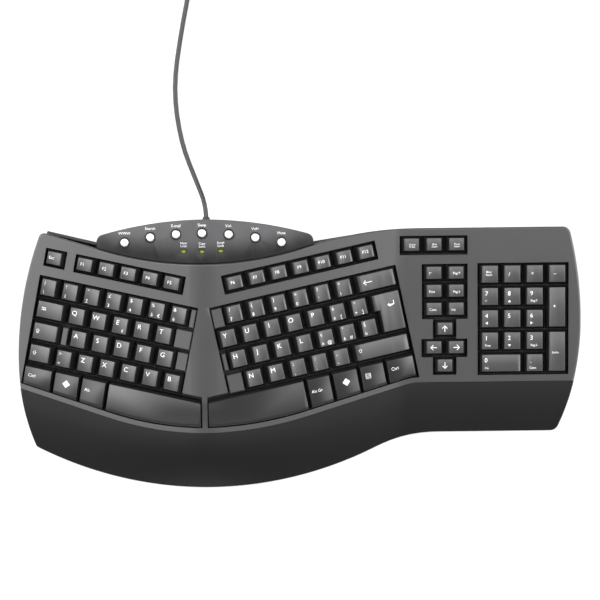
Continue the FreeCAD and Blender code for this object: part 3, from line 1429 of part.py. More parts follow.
def plug_placement():
    """The plug lies on the surface at the end of the tail."""
    heading = TAIL_ROUTE[-1].sub(TAIL_ROUTE[-2])
    turn = math.degrees(math.atan2(heading.y, heading.x)) + 90
    return Placement(TAIL_ROUTE[-1], Rotation(Vector(0, 0, 1), turn))


# Everything the keyboard is made of

LAYERS = {"contact_membranes": (MEMBRANE_LOW, SHEET_LOW),
          "support_plates": (PLATE_LOW, MEMBRANE_LOW)}
CORD, CORD_LENGTH = rounded_run(CORD_ROUTE, "usb_cable")
TAIL, TAIL_LENGTH = rounded_run(TAIL_ROUTE, "usb_cable_tail")
print("cable: whole length %.0f" % (CORD_LENGTH + TAIL_LENGTH + COIL["length"]))

SHAPES = {
    "top_cover": top_cover, "palm_rest": palm_rest, "media_panel": media_panel,
    "bottom_shell": bottom_shell, "dome_sheets": dome_sheets, "filler_caps": filler_caps,
    "hotkey_board": hotkey_board, "indicator_lenses": lens_group,
    "hotkey_buttons": button_group, "case_screws": screw_group, "cable_grommet": grommet,
    "key_enter": enter_key, "cable_tie": cable_tie,
}
nodes = []
for node, make in SHAPES.items():
    nodes.append(part_feature(node, make()))
for node, shape in (("usb_cable", CORD), ("usb_cable_coil", COIL["solid"]),
                    ("usb_cable_tail", TAIL)):
    nodes.append(part_feature(node, shape))
for side in FIELDS:
    nodes.append(part_feature("key_frame_" + side, key_frame(side)))
for node, (low, high) in LAYERS.items():
    nodes.append(part_feature(node, Part.makeCompound(layer(low, high))))
for node in KEYS:
    nodes.append(part_feature(node, key_group(node)))
for node in THUMB_KEYS:
    nodes.append(part_feature(node, thumb_group(node)))
nodes += [rubber_feet(), tilt_foot("tilt_foot_left", -1), tilt_foot("tilt_foot_right", 1),
          controller_board()]
plug = plug_body()
contacts = plug_shell()
for body in (plug, contacts):
    body.Placement = plug_placement()
nodes += [plug, contacts]
doc.recompute()

for item in doc.Objects:
    if "Invalid" in item.State or "Error" in item.State:
        raise RuntimeError("%s failed: %s" % (item.Name, item.State))
for item in nodes:
    shape = item.Shape
    if shape.isNull() or not shape.isValid() or not shape.Solids:
        raise RuntimeError("%s has no valid solid" % item.Label)
    if any(solid.Volume <= 0 for solid in shape.Solids):
        raise RuntimeError("%s is inside out" % item.Label)
    if not all(shell.isClosed() for shell in shape.Shells):
        raise RuntimeError("%s is open" % item.Label)
for item in nodes:
    item.Shape.exportStep("parts/%s.step" % item.Label)
print("%d sub-parts written" % len(nodes))
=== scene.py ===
import math

import bmesh
import bpy
from mathutils import Euler, Matrix, Vector


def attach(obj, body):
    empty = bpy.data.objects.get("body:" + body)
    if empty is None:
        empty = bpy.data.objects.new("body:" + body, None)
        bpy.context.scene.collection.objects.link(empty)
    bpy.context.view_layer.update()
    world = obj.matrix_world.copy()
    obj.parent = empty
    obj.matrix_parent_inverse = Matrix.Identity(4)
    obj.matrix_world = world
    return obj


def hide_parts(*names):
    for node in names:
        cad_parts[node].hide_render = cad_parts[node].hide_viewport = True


# Ergonomic keyboard with tented halves, a moulded palm rest, a numeric pad and a
# strip of media buttons. It lies on its rubber feet, typist's side towards -Y.

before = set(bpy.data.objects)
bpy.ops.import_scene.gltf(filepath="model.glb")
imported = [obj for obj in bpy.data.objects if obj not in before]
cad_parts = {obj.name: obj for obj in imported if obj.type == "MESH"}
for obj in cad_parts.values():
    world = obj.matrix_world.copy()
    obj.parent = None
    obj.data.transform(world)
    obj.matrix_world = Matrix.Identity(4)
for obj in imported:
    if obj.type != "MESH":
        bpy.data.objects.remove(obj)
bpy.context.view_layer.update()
bpy.ops.object.select_all(action="DESELECT")


# Camera: straight down from 1.5 m over the middle of the picture, turned a little
# so that the rows run as they do in the photograph.

CAMERA_PLACE = (0.0008, 0.0459, 1.525)
CAMERA_TURN = -0.66
FOCAL_LENGTH = 105.4
SENSOR_WIDTH = 36.0

bpy.ops.object.camera_add(location=CAMERA_PLACE,
                          rotation=(0.0, 0.0, math.radians(CAMERA_TURN)))
camera = bpy.context.object
camera.name = "camera"
camera.data.lens = FOCAL_LENGTH
camera.data.sensor_width = SENSOR_WIDTH
camera.data.clip_start = 0.05
camera.data.clip_end = 20.0
bpy.context.scene.camera = camera


# Cord: one soft 4 mm cable, moulded in black vinyl. It leaves the rear wall, drops to
# the desk, runs back and is wound into a tied coil, and ends in its plug.

CORD_MM = 4.0
EXIT = (-79.2, 118.3, 12.0)
RUN_TO_COIL = [EXIT, (-79.6, 129.5, 12.0), (-87.5, 149.0, 5.0), (-101.0, 184.0, 2.05),
               (-107.0, 231.0, 2.05), (-99.5, 280.0, 2.05), (-91.6, 318.0, 2.45),
               (-91.4, 338.0, 2.75)]
COIL_MIDDLE = (-62.0, 346.0)
COIL_INNER = 15.8
COIL_HEIGHT = 2.75
TURN_APART = 4.75
LAYERS = 4
TURNS_PER_LAYER = 2.8125
CLIMB = 0.5
POINTS_PER_TURN = 16
RUN_TO_PLUG = [(-46.0, 375.4, 17.0), (-20.0, 373.4, 3.9), (-4.0, 372.4, 3.9)]


def coil_place(turn):
    """Middle of the cable after that many turns, from the outer, lower end."""
    level = min(int(turn / TURNS_PER_LAYER), LAYERS - 1)
    within = turn - level * TURNS_PER_LAYER
    inward = within if level % 2 else TURNS_PER_LAYER - within
    radius = COIL_INNER + TURN_APART * inward
    height = COIL_HEIGHT
    for number in range(1, LAYERS):
        share = (turn - number * TURNS_PER_LAYER) / CLIMB + 0.5
        share = min(max(share, 0.0), 1.0)
        height += TURN_APART * share * share * (3 - 2 * share)
    angle = math.pi - 2 * math.pi * turn
    return (COIL_MIDDLE[0] + radius * math.cos(angle),
            COIL_MIDDLE[1] + radius * math.sin(angle), height)


coil_steps = int(LAYERS * TURNS_PER_LAYER * POINTS_PER_TURN)
wound = [coil_place(step / POINTS_PER_TURN) for step in range(coil_steps + 1)]
cord_points = RUN_TO_COIL + wound + RUN_TO_PLUG

cord_line = bpy.data.curves.new("cord", "CURVE")
cord_line.dimensions = "3D"
cord_line.bevel_depth = CORD_MM / 2000
cord_line.bevel_resolution = 3
cord_line.resolution_u = 4
cord_line.use_fill_caps = True
spline = cord_line.splines.new("NURBS")
spline.points.add(len(cord_points) - 1)
for point, place in zip(spline.points, cord_points):
    point.co = (place[0] / 1000, place[1] / 1000, place[2] / 1000, 1.0)
spline.order_u = 3
spline.use_endpoint_u = True
cord = bpy.data.objects.new("cord", cord_line)
bpy.context.scene.collection.objects.link(cord)


def principled(name):
    """New material and its main shader."""
    material = bpy.data.materials.new(name)
    material.use_nodes = True
    return material, material.node_tree.nodes["Principled BSDF"]


def wear(material, *pieces):
    """Puts one material on whole pieces."""
    for piece in pieces:
        piece.data.materials.clear()
        piece.data.materials.append(material)


def node(name):
    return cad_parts[name]


def grain_group():
    """Fine spark-eroded texture of a plastic moulding, with a slight unevenness of colour."""
    group = bpy.data.node_groups.new("moulded_grain", "ShaderNodeTree")
    sockets = group.interface
    for label, kind, value in (("Colour", "NodeSocketColor", (0.1, 0.1, 0.1, 1)),
                               ("Grain per metre", "NodeSocketFloat", 2600.0),
                               ("Depth", "NodeSocketFloat", 0.25),
                               ("Roughness", "NodeSocketFloat", 0.45),
                               ("Unevenness", "NodeSocketFloat", 0.06)):
        sockets.new_socket(label, in_out="INPUT", socket_type=kind).default_value = value
    sockets.new_socket("Colour", in_out="OUTPUT", socket_type="NodeSocketColor")
    sockets.new_socket("Roughness", in_out="OUTPUT", socket_type="NodeSocketFloat")
    sockets.new_socket("Normal", in_out="OUTPUT", socket_type="NodeSocketVector")
    nodes, links = group.nodes, group.links
    inside = nodes.new("NodeGroupInput")
    outside = nodes.new("NodeGroupOutput")
    place = nodes.new("ShaderNodeTexCoord")
    fine = nodes.new("ShaderNodeTexNoise")
    fine.inputs["Detail"].default_value = 3.0
    links.new(place.outputs["Object"], fine.inputs["Vector"])
    links.new(inside.outputs["Grain per metre"], fine.inputs["Scale"])
    broad = nodes.new("ShaderNodeTexNoise")
    broad.inputs["Scale"].default_value = 22.0
    broad.inputs["Detail"].default_value = 2.0
    links.new(place.outputs["Object"], broad.inputs["Vector"])
    bump = nodes.new("ShaderNodeBump")
    bump.inputs["Distance"].default_value = 0.00004
    links.new(inside.outputs["Depth"], bump.inputs["Strength"])
    links.new(fine.outputs["Fac"], bump.inputs["Height"])
    links.new(bump.outputs["Normal"], outside.inputs["Normal"])
    centred = nodes.new("ShaderNodeMath")
    centred.operation = "SUBTRACT"
    centred.inputs[1].default_value = 0.5
    links.new(broad.outputs["Fac"], centred.inputs[0])
    spread = nodes.new("ShaderNodeMath")
    spread.operation = "MULTIPLY"
    links.new(centred.outputs[0], spread.inputs[0])
    links.new(inside.outputs["Unevenness"], spread.inputs[1])
    bright = nodes.new("ShaderNodeMath")
    bright.inputs[1].default_value = 1.0
    links.new(spread.outputs[0], bright.inputs[0])
    tone = nodes.new("ShaderNodeVectorMath")
    tone.operation = "SCALE"
    links.new(inside.outputs["Colour"], tone.inputs[0])
    links.new(bright.outputs[0], tone.inputs["Scale"])
    links.new(tone.outputs[0], outside.inputs["Colour"])
    gloss = nodes.new("ShaderNodeMath")
    links.new(inside.outputs["Roughness"], gloss.inputs[0])
    links.new(spread.outputs[0], gloss.inputs[1])
    links.new(gloss.outputs[0], outside.inputs["Roughness"])
    return group


MOULDED_GRAIN = grain_group()


def moulding(name, colour, roughness, grain=2600.0, depth=0.25, unevenness=0.06, specular=0.5):
    """Plastic or rubber with a fine mould texture."""
    material, shader = principled(name)
    tree = material.node_tree
    grained = tree.nodes.new("ShaderNodeGroup")
    grained.node_tree = MOULDED_GRAIN
    grained.inputs["Colour"].default_value = (*colour, 1)
    grained.inputs["Grain per metre"].default_value = grain
    grained.inputs["Depth"].default_value = depth
    grained.inputs["Roughness"].default_value = roughness
    grained.inputs["Unevenness"].default_value = unevenness
    tree.links.new(grained.outputs["Colour"], shader.inputs["Base Color"])
    tree.links.new(grained.outputs["Roughness"], shader.inputs["Roughness"])
    tree.links.new(grained.outputs["Normal"], shader.inputs["Normal"])
    shader.inputs["Specular IOR Level"].default_value = specular
    return material


cord_vinyl = moulding("cord_vinyl", (0.018, 0.018, 0.019), 0.42, grain=1500.0, depth=0.15)
wear(cord_vinyl, cord)
wear(cord_vinyl, node("cable_grommet"))
wear(moulding("tie_plastic", (0.014, 0.014, 0.015), 0.35), node("cable_tie"))
wear(moulding("plug_plastic", (0.02, 0.02, 0.021), 0.5, depth=0.4), node("usb_plug_body"))
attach(cord, "housing")
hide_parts("usb_cable", "usb_cable_coil", "usb_cable_tail")


# Plug's contact sleeve: folded nickel-plated sheet, drawn and slightly brushed along
# its length.

plated, shader = principled("plug_nickel")
shader.inputs["Metallic"].default_value = 1.0
shader.inputs["Base Color"].default_value = (0.62, 0.61, 0.59, 1)
tree = plated.node_tree
place = tree.nodes.new("ShaderNodeTexCoord")
along = tree.nodes.new("ShaderNodeMapping")
along.inputs["Scale"].default_value = (60.0, 3000.0, 3000.0)
brushed = tree.nodes.new("ShaderNodeTexNoise")
brushed.inputs["Scale"].default_value = 1.0
ramp = tree.nodes.new("ShaderNodeMapRange")
ramp.inputs["To Min"].default_value = 0.22
ramp.inputs["To Max"].default_value = 0.36
tree.links.new(place.outputs["Object"], along.inputs["Vector"])
tree.links.new(along.outputs["Vector"], brushed.inputs["Vector"])
tree.links.new(brushed.outputs["Fac"], ramp.inputs["Value"])
tree.links.new(ramp.outputs["Result"], shader.inputs["Roughness"])
wear(plated, node("usb_plug_shell"))


# Housing: the grey upper cover with its three key wells, injection moulded with a
# satin texture, over a black base.

cover_plastic = moulding("cover_plastic", (0.036, 0.036, 0.0375), 0.3, grain=3200.0,
                         depth=0.12, unevenness=0.05, specular=0.7)
base_plastic = moulding("base_plastic", (0.02, 0.02, 0.021), 0.55, grain=2200.0, depth=0.5)


SMOOTH_ANGLE = 32.0
BEVEL_ANGLE = 35.0
WELD_REACH = 0.00001


def soften(piece, width, steps=2):
    """Small moulded radius on a CAD node's sharp edges."""
    weld = piece.modifiers.new("join", "WELD")
    weld.merge_threshold = WELD_REACH
    bevel = piece.modifiers.new("edge", "BEVEL")
    bevel.width = width
    bevel.segments = steps
    bevel.limit_method = "ANGLE"
    bevel.angle_limit = math.radians(BEVEL_ANGLE)
    bevel.harden_normals = True
    bevel.use_clamp_overlap = True
    bevel.miter_outer = "MITER_ARC"


def smooth(*pieces):
    """Smooth shading that keeps real corners."""
    for piece in pieces:
        bpy.ops.object.select_all(action="DESELECT")
        piece.select_set(True)
        bpy.context.view_layer.objects.active = piece
        bpy.ops.object.shade_smooth_by_angle(angle=math.radians(SMOOTH_ANGLE))


wear(cover_plastic, node("top_cover"))
wear(base_plastic, node("bottom_shell"), node("tilt_foot_left"), node("tilt_foot_right"))


# Palm rest: one smooth black moulding clipped in front of the cover, a little glossier
# than the cover, with a raised middle.

palm_plastic = moulding("palm_plastic", (0.0085, 0.0085, 0.009), 0.42, grain=3600.0, depth=0.15,
                        unevenness=0.04, specular=0.22)
wear(palm_plastic, node("palm_rest"))


# Media panel: satin strip behind the keys, with painted shade darker towards the cover. Each
# button stands in a black ring, and the lock keys' small green windows have a painted glow.

PANEL_MIDDLE = (-80.6, 102.8, 54.9)
PITCH = math.radians(5.5)
BUTTON_PLACES = [(-146.4, 96.0, 45.81), (-124.4, 100.0, 49.29), (-102.5, 102.2, 52.58),
                 (-80.6, 102.8, 54.91), (-58.3, 101.7, 52.44), (-36.1, 98.9, 49.06),
                 (-14.2, 94.9, 45.59)]
# Painted shade: the panel's colour darkens towards the cover, by distance from a middle far
# behind the panel.
PAINTED_SHADE_MIDDLE = (PANEL_MIDDLE[0] / 1000, 0.362, 0.05)
PAINTED_SHADE_FULL = 0.2825
PAINTED_SHADE_GONE = 0.262
PANEL_EDGE = 0.0003
RING_OUTER = 4.75
RING_WIDTH = 1.3
RING_DEPTH = 1.7
RING_LIFT = 0.45
RING_SIDES = 56
RING_ROLL = 0.0004
BUTTON_LABELS = ["WWW", "Search", "E-mail", "Sleep", "Vol-", "Vol+", "Mute"]
LABEL_REAR = 6.7
LABEL_SIZE = 3.3
LENS_LABEL_REAR = 5.6
LENS_LABEL_SIZE = 2.7
LENS_PLACES = [(-96.3, 87.6), (-80.8, 87.2), (-65.2, 87.6)]
LENS_LABELS = ["Num\nLock", "Caps\nLock", "Scroll\nLock"]
LENS_SQUASH = 1.6
# Painted glow: the lens colour brightens from these distances in towards each window's middle.
PAINTED_GLOW_OUTER = 0.0026
PAINTED_GLOW_INNER = 0.0006

panel_plastic, shader = principled("panel_plastic")
tree = panel_plastic.node_tree
place = tree.nodes.new("ShaderNodeTexCoord")
away = tree.nodes.new("ShaderNodeVectorMath")
away.operation = "DISTANCE"
away.inputs[1].default_value = PAINTED_SHADE_MIDDLE
flatten = tree.nodes.new("ShaderNodeVectorMath")
flatten.operation = "MULTIPLY_ADD"
flatten.inputs[1].default_value = (1.0, 1.0, 0.0)
flatten.inputs[2].default_value = (0.0, 0.0, PAINTED_SHADE_MIDDLE[2])
# Painted shade: dark near the cover, brighter towards the rear of the panel.
painted_shade_fade = tree.nodes.new("ShaderNodeMapRange")
painted_shade_fade.interpolation_type = "SMOOTHSTEP"
painted_shade_fade.inputs["From Min"].default_value = PAINTED_SHADE_FULL
painted_shade_fade.inputs["From Max"].default_value = PAINTED_SHADE_GONE
painted_shade = tree.nodes.new("ShaderNodeMix")
painted_shade.data_type = "RGBA"
painted_shade.inputs["A"].default_value = (0.006, 0.006, 0.0065, 1)
painted_shade.inputs["B"].default_value = (0.07, 0.07, 0.0725, 1)
grained = tree.nodes.new("ShaderNodeGroup")
grained.node_tree = MOULDED_GRAIN
grained.inputs["Grain per metre"].default_value = 3200.0
grained.inputs["Depth"].default_value = 0.2
grained.inputs["Roughness"].default_value = 0.42
shader.inputs["Specular IOR Level"].default_value = 0.3
tree.links.new(place.outputs["Object"], flatten.inputs[0])
tree.links.new(flatten.outputs[0], away.inputs[0])
tree.links.new(away.outputs["Value"], painted_shade_fade.inputs["Value"])
tree.links.new(painted_shade_fade.outputs["Result"], painted_shade.inputs["Factor"])
tree.links.new(painted_shade.outputs["Result"], grained.inputs["Colour"])
tree.links.new(grained.outputs["Colour"], shader.inputs["Base Color"])
tree.links.new(grained.outputs["Roughness"], shader.inputs["Roughness"])
tree.links.new(grained.outputs["Normal"], shader.inputs["Normal"])
wear(panel_plastic, node("media_panel"))
soften(node("media_panel"), PANEL_EDGE)
smooth(node("media_panel"))

bpy.ops.object.select_all(action="DESELECT")
bpy.ops.mesh.primitive_cylinder_add(vertices=RING_SIDES, radius=RING_OUTER / 1000,
                                    depth=RING_DEPTH / 1000, location=(0.0, 0.0, 0.0))
ring = bpy.context.object
bpy.ops.object.mode_set(mode="EDIT")
bpy.ops.mesh.select_mode(type="FACE")
bpy.ops.mesh.select_all(action="DESELECT")
mesh = bmesh.from_edit_mesh(ring.data)
for face in mesh.faces:
    face.select_set(abs(face.normal.z) > 0.9)
bmesh.update_edit_mesh(ring.data)
bpy.ops.mesh.inset(thickness=RING_WIDTH / 1000, use_individual=True)
bpy.ops.mesh.bridge_edge_loops()
bpy.ops.object.mode_set(mode="OBJECT")
roll = ring.modifiers.new("roll", "BEVEL")
roll.width = RING_ROLL
roll.segments = 4
roll.limit_method = "ANGLE"
bpy.ops.object.modifier_apply(modifier=roll.name)
bpy.ops.object.shade_smooth_by_angle(angle=math.radians(SMOOTH_ANGLE))
rings = []
for x, y, z in BUTTON_PLACES:
    copy = ring.copy()
    copy.data = ring.data.copy()
    copy.location = (x / 1000, y / 1000, (z - RING_DEPTH / 2 + RING_LIFT) / 1000)
    copy.rotation_euler = (PITCH, 0.0, 0.0)
    bpy.context.scene.collection.objects.link(copy)
    rings.append(copy)
bpy.data.objects.remove(ring)
bpy.ops.object.select_all(action="DESELECT")
for copy in rings:
    copy.select_set(True)
bpy.context.view_layer.objects.active = rings[0]
bpy.ops.object.transform_apply(location=True, rotation=True, scale=True)
bpy.ops.object.join()
button_rings = bpy.context.object
button_rings.name = "button_rings"
wear(moulding("ring_plastic", (0.006, 0.006, 0.007), 0.3, depth=0.1), button_rings)
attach(button_rings, "housing")

pearl, shader = principled("button_pearl")
tree = pearl.node_tree
place = tree.nodes.new("ShaderNodeTexCoord")
flakes = tree.nodes.new("ShaderNodeTexNoise")
flakes.inputs["Scale"].default_value = 2500.0
flakes.inputs["Detail"].default_value = 2.0
pearl_tone = tree.nodes.new("ShaderNodeMix")
pearl_tone.data_type = "RGBA"
pearl_tone.inputs["A"].default_value = (0.66, 0.67, 0.69, 1)
pearl_tone.inputs["B"].default_value = (0.86, 0.87, 0.88, 1)
tree.links.new(place.outputs["Object"], flakes.inputs["Vector"])
tree.links.new(flakes.outputs["Fac"], pearl_tone.inputs["Factor"])
tree.links.new(pearl_tone.outputs["Result"], shader.inputs["Base Color"])
shader.inputs["Metallic"].default_value = 0.2
shader.inputs["Roughness"].default_value = 0.25
shader.inputs["Coat Weight"].default_value = 0.5
wear(pearl, node("hotkey_buttons"))
smooth(node("hotkey_buttons"))

lens, shader = principled("lens_green")
tree = lens.node_tree
place = tree.nodes.new("ShaderNodeTexCoord")
near = []
for x, y in LENS_PLACES:
    centre = tree.nodes.new("ShaderNodeVectorMath")
    centre.operation = "DISTANCE"
    squash = tree.nodes.new("ShaderNodeVectorMath")
    squash.operation = "MULTIPLY"
    squash.inputs[1].default_value = (1.0, LENS_SQUASH, 0.0)
    centre.inputs[1].default_value = (x / 1000, LENS_SQUASH * y / 1000, 0.0)
    tree.links.new(place.outputs["Object"], squash.inputs[0])
    tree.links.new(squash.outputs[0], centre.inputs[0])
    near.append(centre.outputs["Value"])
nearest = near[0]
for other in near[1:]:
    least = tree.nodes.new("ShaderNodeMath")
    least.operation = "MINIMUM"
    tree.links.new(nearest, least.inputs[0])
    tree.links.new(other, least.inputs[1])
    nearest = least.outputs[0]
# Painted glow: bright green in the middle of each window, dark olive towards its rim.
glow = tree.nodes.new("ShaderNodeMapRange")
glow.interpolation_type = "SMOOTHSTEP"
glow.inputs["From Min"].default_value = PAINTED_GLOW_OUTER
glow.inputs["From Max"].default_value = PAINTED_GLOW_INNER
lens_painted_glow = tree.nodes.new("ShaderNodeMix")
lens_painted_glow.data_type = "RGBA"
lens_painted_glow.inputs["A"].default_value = (0.022, 0.032, 0.002, 1)
lens_painted_glow.inputs["B"].default_value = (0.17, 0.24, 0.01, 1)
tree.links.new(nearest, glow.inputs["Value"])
tree.links.new(glow.outputs["Result"], lens_painted_glow.inputs["Factor"])
tree.links.new(lens_painted_glow.outputs["Result"], shader.inputs["Base Color"])
shader.inputs["Roughness"].default_value = 0.18
shader.inputs["Coat Weight"].default_value = 0.3
wear(lens, node("indicator_lenses"))

MARK_ABOVE = 9.0
MARK_LIFT = 0.00006
LINE_SPACE = 0.9

mark_ink, shader = principled("mark_ink")
tree = mark_ink.node_tree
place = tree.nodes.new("ShaderNodeTexCoord")
specks = tree.nodes.new("ShaderNodeTexNoise")
specks.inputs["Scale"].default_value = 1400.0
ink_tone = tree.nodes.new("ShaderNodeMix")
ink_tone.data_type = "RGBA"
ink_tone.inputs["A"].default_value = (0.7, 0.7, 0.7, 1)
ink_tone.inputs["B"].default_value = (0.9, 0.9, 0.9, 1)
tree.links.new(place.outputs["Object"], specks.inputs["Vector"])
tree.links.new(specks.outputs["Fac"], ink_tone.inputs["Factor"])
tree.links.new(ink_tone.outputs["Result"], shader.inputs["Base Color"])
shader.inputs["Roughness"].default_value = 0.5


def printed(name, marks, matrix, target, body):
    """Text marks made one mesh, dropped onto a surface along the matrix's own Z."""
    bpy.ops.object.select_all(action="DESELECT")
    texts = []
    for mark, x, y, size in marks:
        bpy.ops.object.text_add(location=(x / 1000, y / 1000, MARK_ABOVE / 1000))
        text = bpy.context.object
        text.data.body = mark
        text.data.size = size / 1000
        text.data.resolution_u = 4
        text.data.align_x = "CENTER"
        text.data.align_y = "CENTER"
        text.data.space_line = LINE_SPACE
        texts.append(text)
    for text in texts:
        text.select_set(True)
    bpy.context.view_layer.objects.active = texts[0]
    bpy.ops.object.convert(target="MESH")
    bpy.ops.object.transform_apply(location=True, rotation=True, scale=True)
    if len(texts) > 1:
        bpy.ops.object.join()
    piece = bpy.context.object
    piece.name = name
    piece.matrix_world = matrix
    drop = piece.modifiers.new("print", "SHRINKWRAP")
    drop.target = target
    drop.wrap_method = "PROJECT"
    drop.wrap_mode = "ABOVE_SURFACE"
    drop.use_project_z = True
    drop.use_positive_direction = False
    drop.use_negative_direction = True
    drop.offset = MARK_LIFT
    bpy.ops.object.modifier_apply(modifier=drop.name)
    bpy.ops.object.transform_apply(location=True, rotation=True, scale=True)
    wear(mark_ink, piece)
    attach(piece, body)


on_panel = (Matrix.Translation([value / 1000 for value in PANEL_MIDDLE])
            @ Matrix.Rotation(PITCH, 4, "X"))
panel_marks = [(word, x - PANEL_MIDDLE[0], y - PANEL_MIDDLE[1] + LABEL_REAR, LABEL_SIZE)
               for word, (x, y, z) in zip(BUTTON_LABELS, BUTTON_PLACES)]
panel_marks += [(word, x - PANEL_MIDDLE[0], y - PANEL_MIDDLE[1] + LENS_LABEL_REAR,
                 LENS_LABEL_SIZE)
                for word, (x, y) in zip(LENS_LABELS, LENS_PLACES)]
printed("panel_labels", panel_marks, on_panel, node("media_panel"), "housing")


# Key fields: black trays under the keys, with a rim round each well and a chimney for
# each stem, and the fixed blocks that fill the ends of the rows. The trays' near-black
# also stands in for the shade down in the wells.

# Black plastic whose near-black is also painted shade for the depth of the wells.
well_plastic_and_shade = moulding("well_plastic_and_shade", (0.008, 0.008, 0.009), 0.6, depth=0.5, specular=0.3)
wear(well_plastic_and_shade, node("key_frame_left"), node("key_frame_right"), node("key_frame_pad"))
wear(cover_plastic, node("filler_caps"))


# Keys: hollow caps moulded in charcoal plastic, each with a dished top, tapered sides and
# a small radius on its edges.

LEFT_KEYS = ["key_escape", "keys_function_left", "keys_number_left", "key_tab",
             "keys_top_letters_left", "key_caps_lock", "keys_home_letters_left",
             "key_shift_left", "keys_bottom_letters_left"]
RIGHT_KEYS = ["keys_function_right", "keys_number_right", "key_backspace",
              "keys_top_letters_right", "keys_home_letters_right", "key_enter",
              "keys_bottom_letters_right", "key_shift_right"]
PAD_KEYS = ["keys_system", "keys_navigation", "keys_arrow", "keys_numpad_top",
            "keys_numpad_789", "keys_numpad_456", "keys_numpad_123", "key_numpad_plus",
            "key_numpad_enter", "key_numpad_zero", "key_numpad_delete"]
THUMB_KEYS = ["keys_modifier_left", "key_space_left", "key_space_right", "keys_modifier_right"]
KEY_TONE = (0.045, 0.045, 0.047)
THUMB_TONE = (0.017, 0.017, 0.0178)
# Painted shade: near-black colour for the cap sides below the top edge.
KEY_SIDE_PAINTED_SHADE = (0.012, 0.012, 0.013)
FIELDS = {
    "left": ((-162.0, 19.0, 36.2035), (7.04437, -6.63881, -12.49), (3.5, 1.5)),
    "right": ((-2.9, 18.0, 36.5991), (7.04437, 6.63881, 12.49), (10.0, 1.5)),
    "pad": ((181.5, 37.3, 25.8916), (5.5, 0.0, 0.0), (1.0, 1.5)),
}
TOP_EDGE = 3.45
KEY_ROUNDING = 0.0012
THUMB_FALL = 0.0937
THUMB_REAR = -41.4
THUMB_EDGE = 3.7
THUMB_SOFT = 1.5
THUMB_ROUNDING = 0.0006


def field_turn(side):
    """Rotation of one field of keys."""
    return Euler([math.radians(value) for value in FIELDS[side][1]], "XYZ").to_matrix()


def cap_painted_shade_group():
    """Colour of a cap: satin top, and painted shade darkening its sides below its upper edge."""
    group = bpy.data.node_groups.new("cap_painted_shade", "ShaderNodeTree")
    sockets = group.interface
    for label, kind, value in (("Top", "NodeSocketColor", (0.1, 0.1, 0.1, 1)),
                               ("Shaded sides", "NodeSocketColor", (0.02, 0.02, 0.02, 1)),
                               ("Up", "NodeSocketVector", (0.0, 0.0, 1.0)),
                               ("Edge height", "NodeSocketFloat", 0.03),
                               ("Edge softness", "NodeSocketFloat", 0.0004)):
        sockets.new_socket(label, in_out="INPUT", socket_type=kind).default_value = value
    sockets.new_socket("Colour", in_out="OUTPUT", socket_type="NodeSocketColor")
    nodes, links = group.nodes, group.links
    inside = nodes.new("NodeGroupInput")
    outside = nodes.new("NodeGroupOutput")
    place = nodes.new("ShaderNodeTexCoord")
    height = nodes.new("ShaderNodeVectorMath")
    height.operation = "DOT_PRODUCT"
    links.new(place.outputs["Object"], height.inputs[0])
    links.new(inside.outputs["Up"], height.inputs[1])
    above = nodes.new("ShaderNodeMath")
    above.operation = "SUBTRACT"
    links.new(height.outputs["Value"], above.inputs[0])
    links.new(inside.outputs["Edge height"], above.inputs[1])
    share = nodes.new("ShaderNodeMath")
    share.operation = "DIVIDE"
    links.new(above.outputs[0], share.inputs[0])
    links.new(inside.outputs["Edge softness"], share.inputs[1])
    lifted = nodes.new("ShaderNodeMath")
    lifted.use_clamp = True
    lifted.inputs[1].default_value = 1.0
    links.new(share.outputs[0], lifted.inputs[0])
    blend = nodes.new("ShaderNodeMix")
    blend.data_type = "RGBA"
    links.new(lifted.outputs[0], blend.inputs["Factor"])
    links.new(inside.outputs["Shaded sides"], blend.inputs["A"])
    links.new(inside.outputs["Top"], blend.inputs["B"])
    links.new(blend.outputs["Result"], outside.inputs["Colour"])
    return group


CAP_PAINTED_SHADE = cap_painted_shade_group()


def cap_plastic(side, tone, lean=0.0, foot_y=0.0, edge=TOP_EDGE, soft=0.4):
    """Charcoal cap plastic for keys whose tops lie in one plane of a field, with painted shade
    on the sides below the top edge.
    """
    facing = field_turn(side)
    up = facing @ Vector((0.0, -lean, 1.0)).normalized()
    foot = Vector(FIELDS[side][0]) + facing @ Vector((0.0, foot_y, edge))
    material = moulding("key_plastic_%s_%d" % (side, edge * 100), tone, 0.3, grain=2800.0,
                        depth=0.15, specular=0.65)
    tree = material.node_tree
    grained = next(item for item in tree.nodes if item.type == "GROUP")
    split = tree.nodes.new("ShaderNodeGroup")
    split.node_tree = CAP_PAINTED_SHADE
    split.inputs["Top"].default_value = (*tone, 1)
    split.inputs["Shaded sides"].default_value = (*KEY_SIDE_PAINTED_SHADE, 1)
    split.inputs["Up"].default_value = up
    split.inputs["Edge height"].default_value = up.dot(foot) / 1000
    split.inputs["Edge softness"].default_value = soft / 1000
    tree.links.new(split.outputs["Colour"], grained.inputs["Colour"])
    return material


for side, names in (("left", LEFT_KEYS), ("right", RIGHT_KEYS), ("pad", PAD_KEYS)):
    plastic = cap_plastic(side, KEY_TONE)
    for name in names:
        wear(plastic, node(name))
        soften(node(name), KEY_ROUNDING, steps=3)
        smooth(node(name))
# Thumb keys: their painted shade starts on a plane leaning down towards the front and fades in
# softly, so the front roll of each top is painted darker.
for name in THUMB_KEYS:
    side = name.split("_")[-1]
    wear(cap_plastic(side, THUMB_TONE, lean=THUMB_FALL, foot_y=THUMB_REAR, edge=THUMB_EDGE,
                     soft=THUMB_SOFT), node(name))
    soften(node(name), THUMB_ROUNDING)
    smooth(node(name))


# Legends: marks pad-printed in white on the cap tops. Each row's marks are one piece
# that lies on its caps and goes down with them.

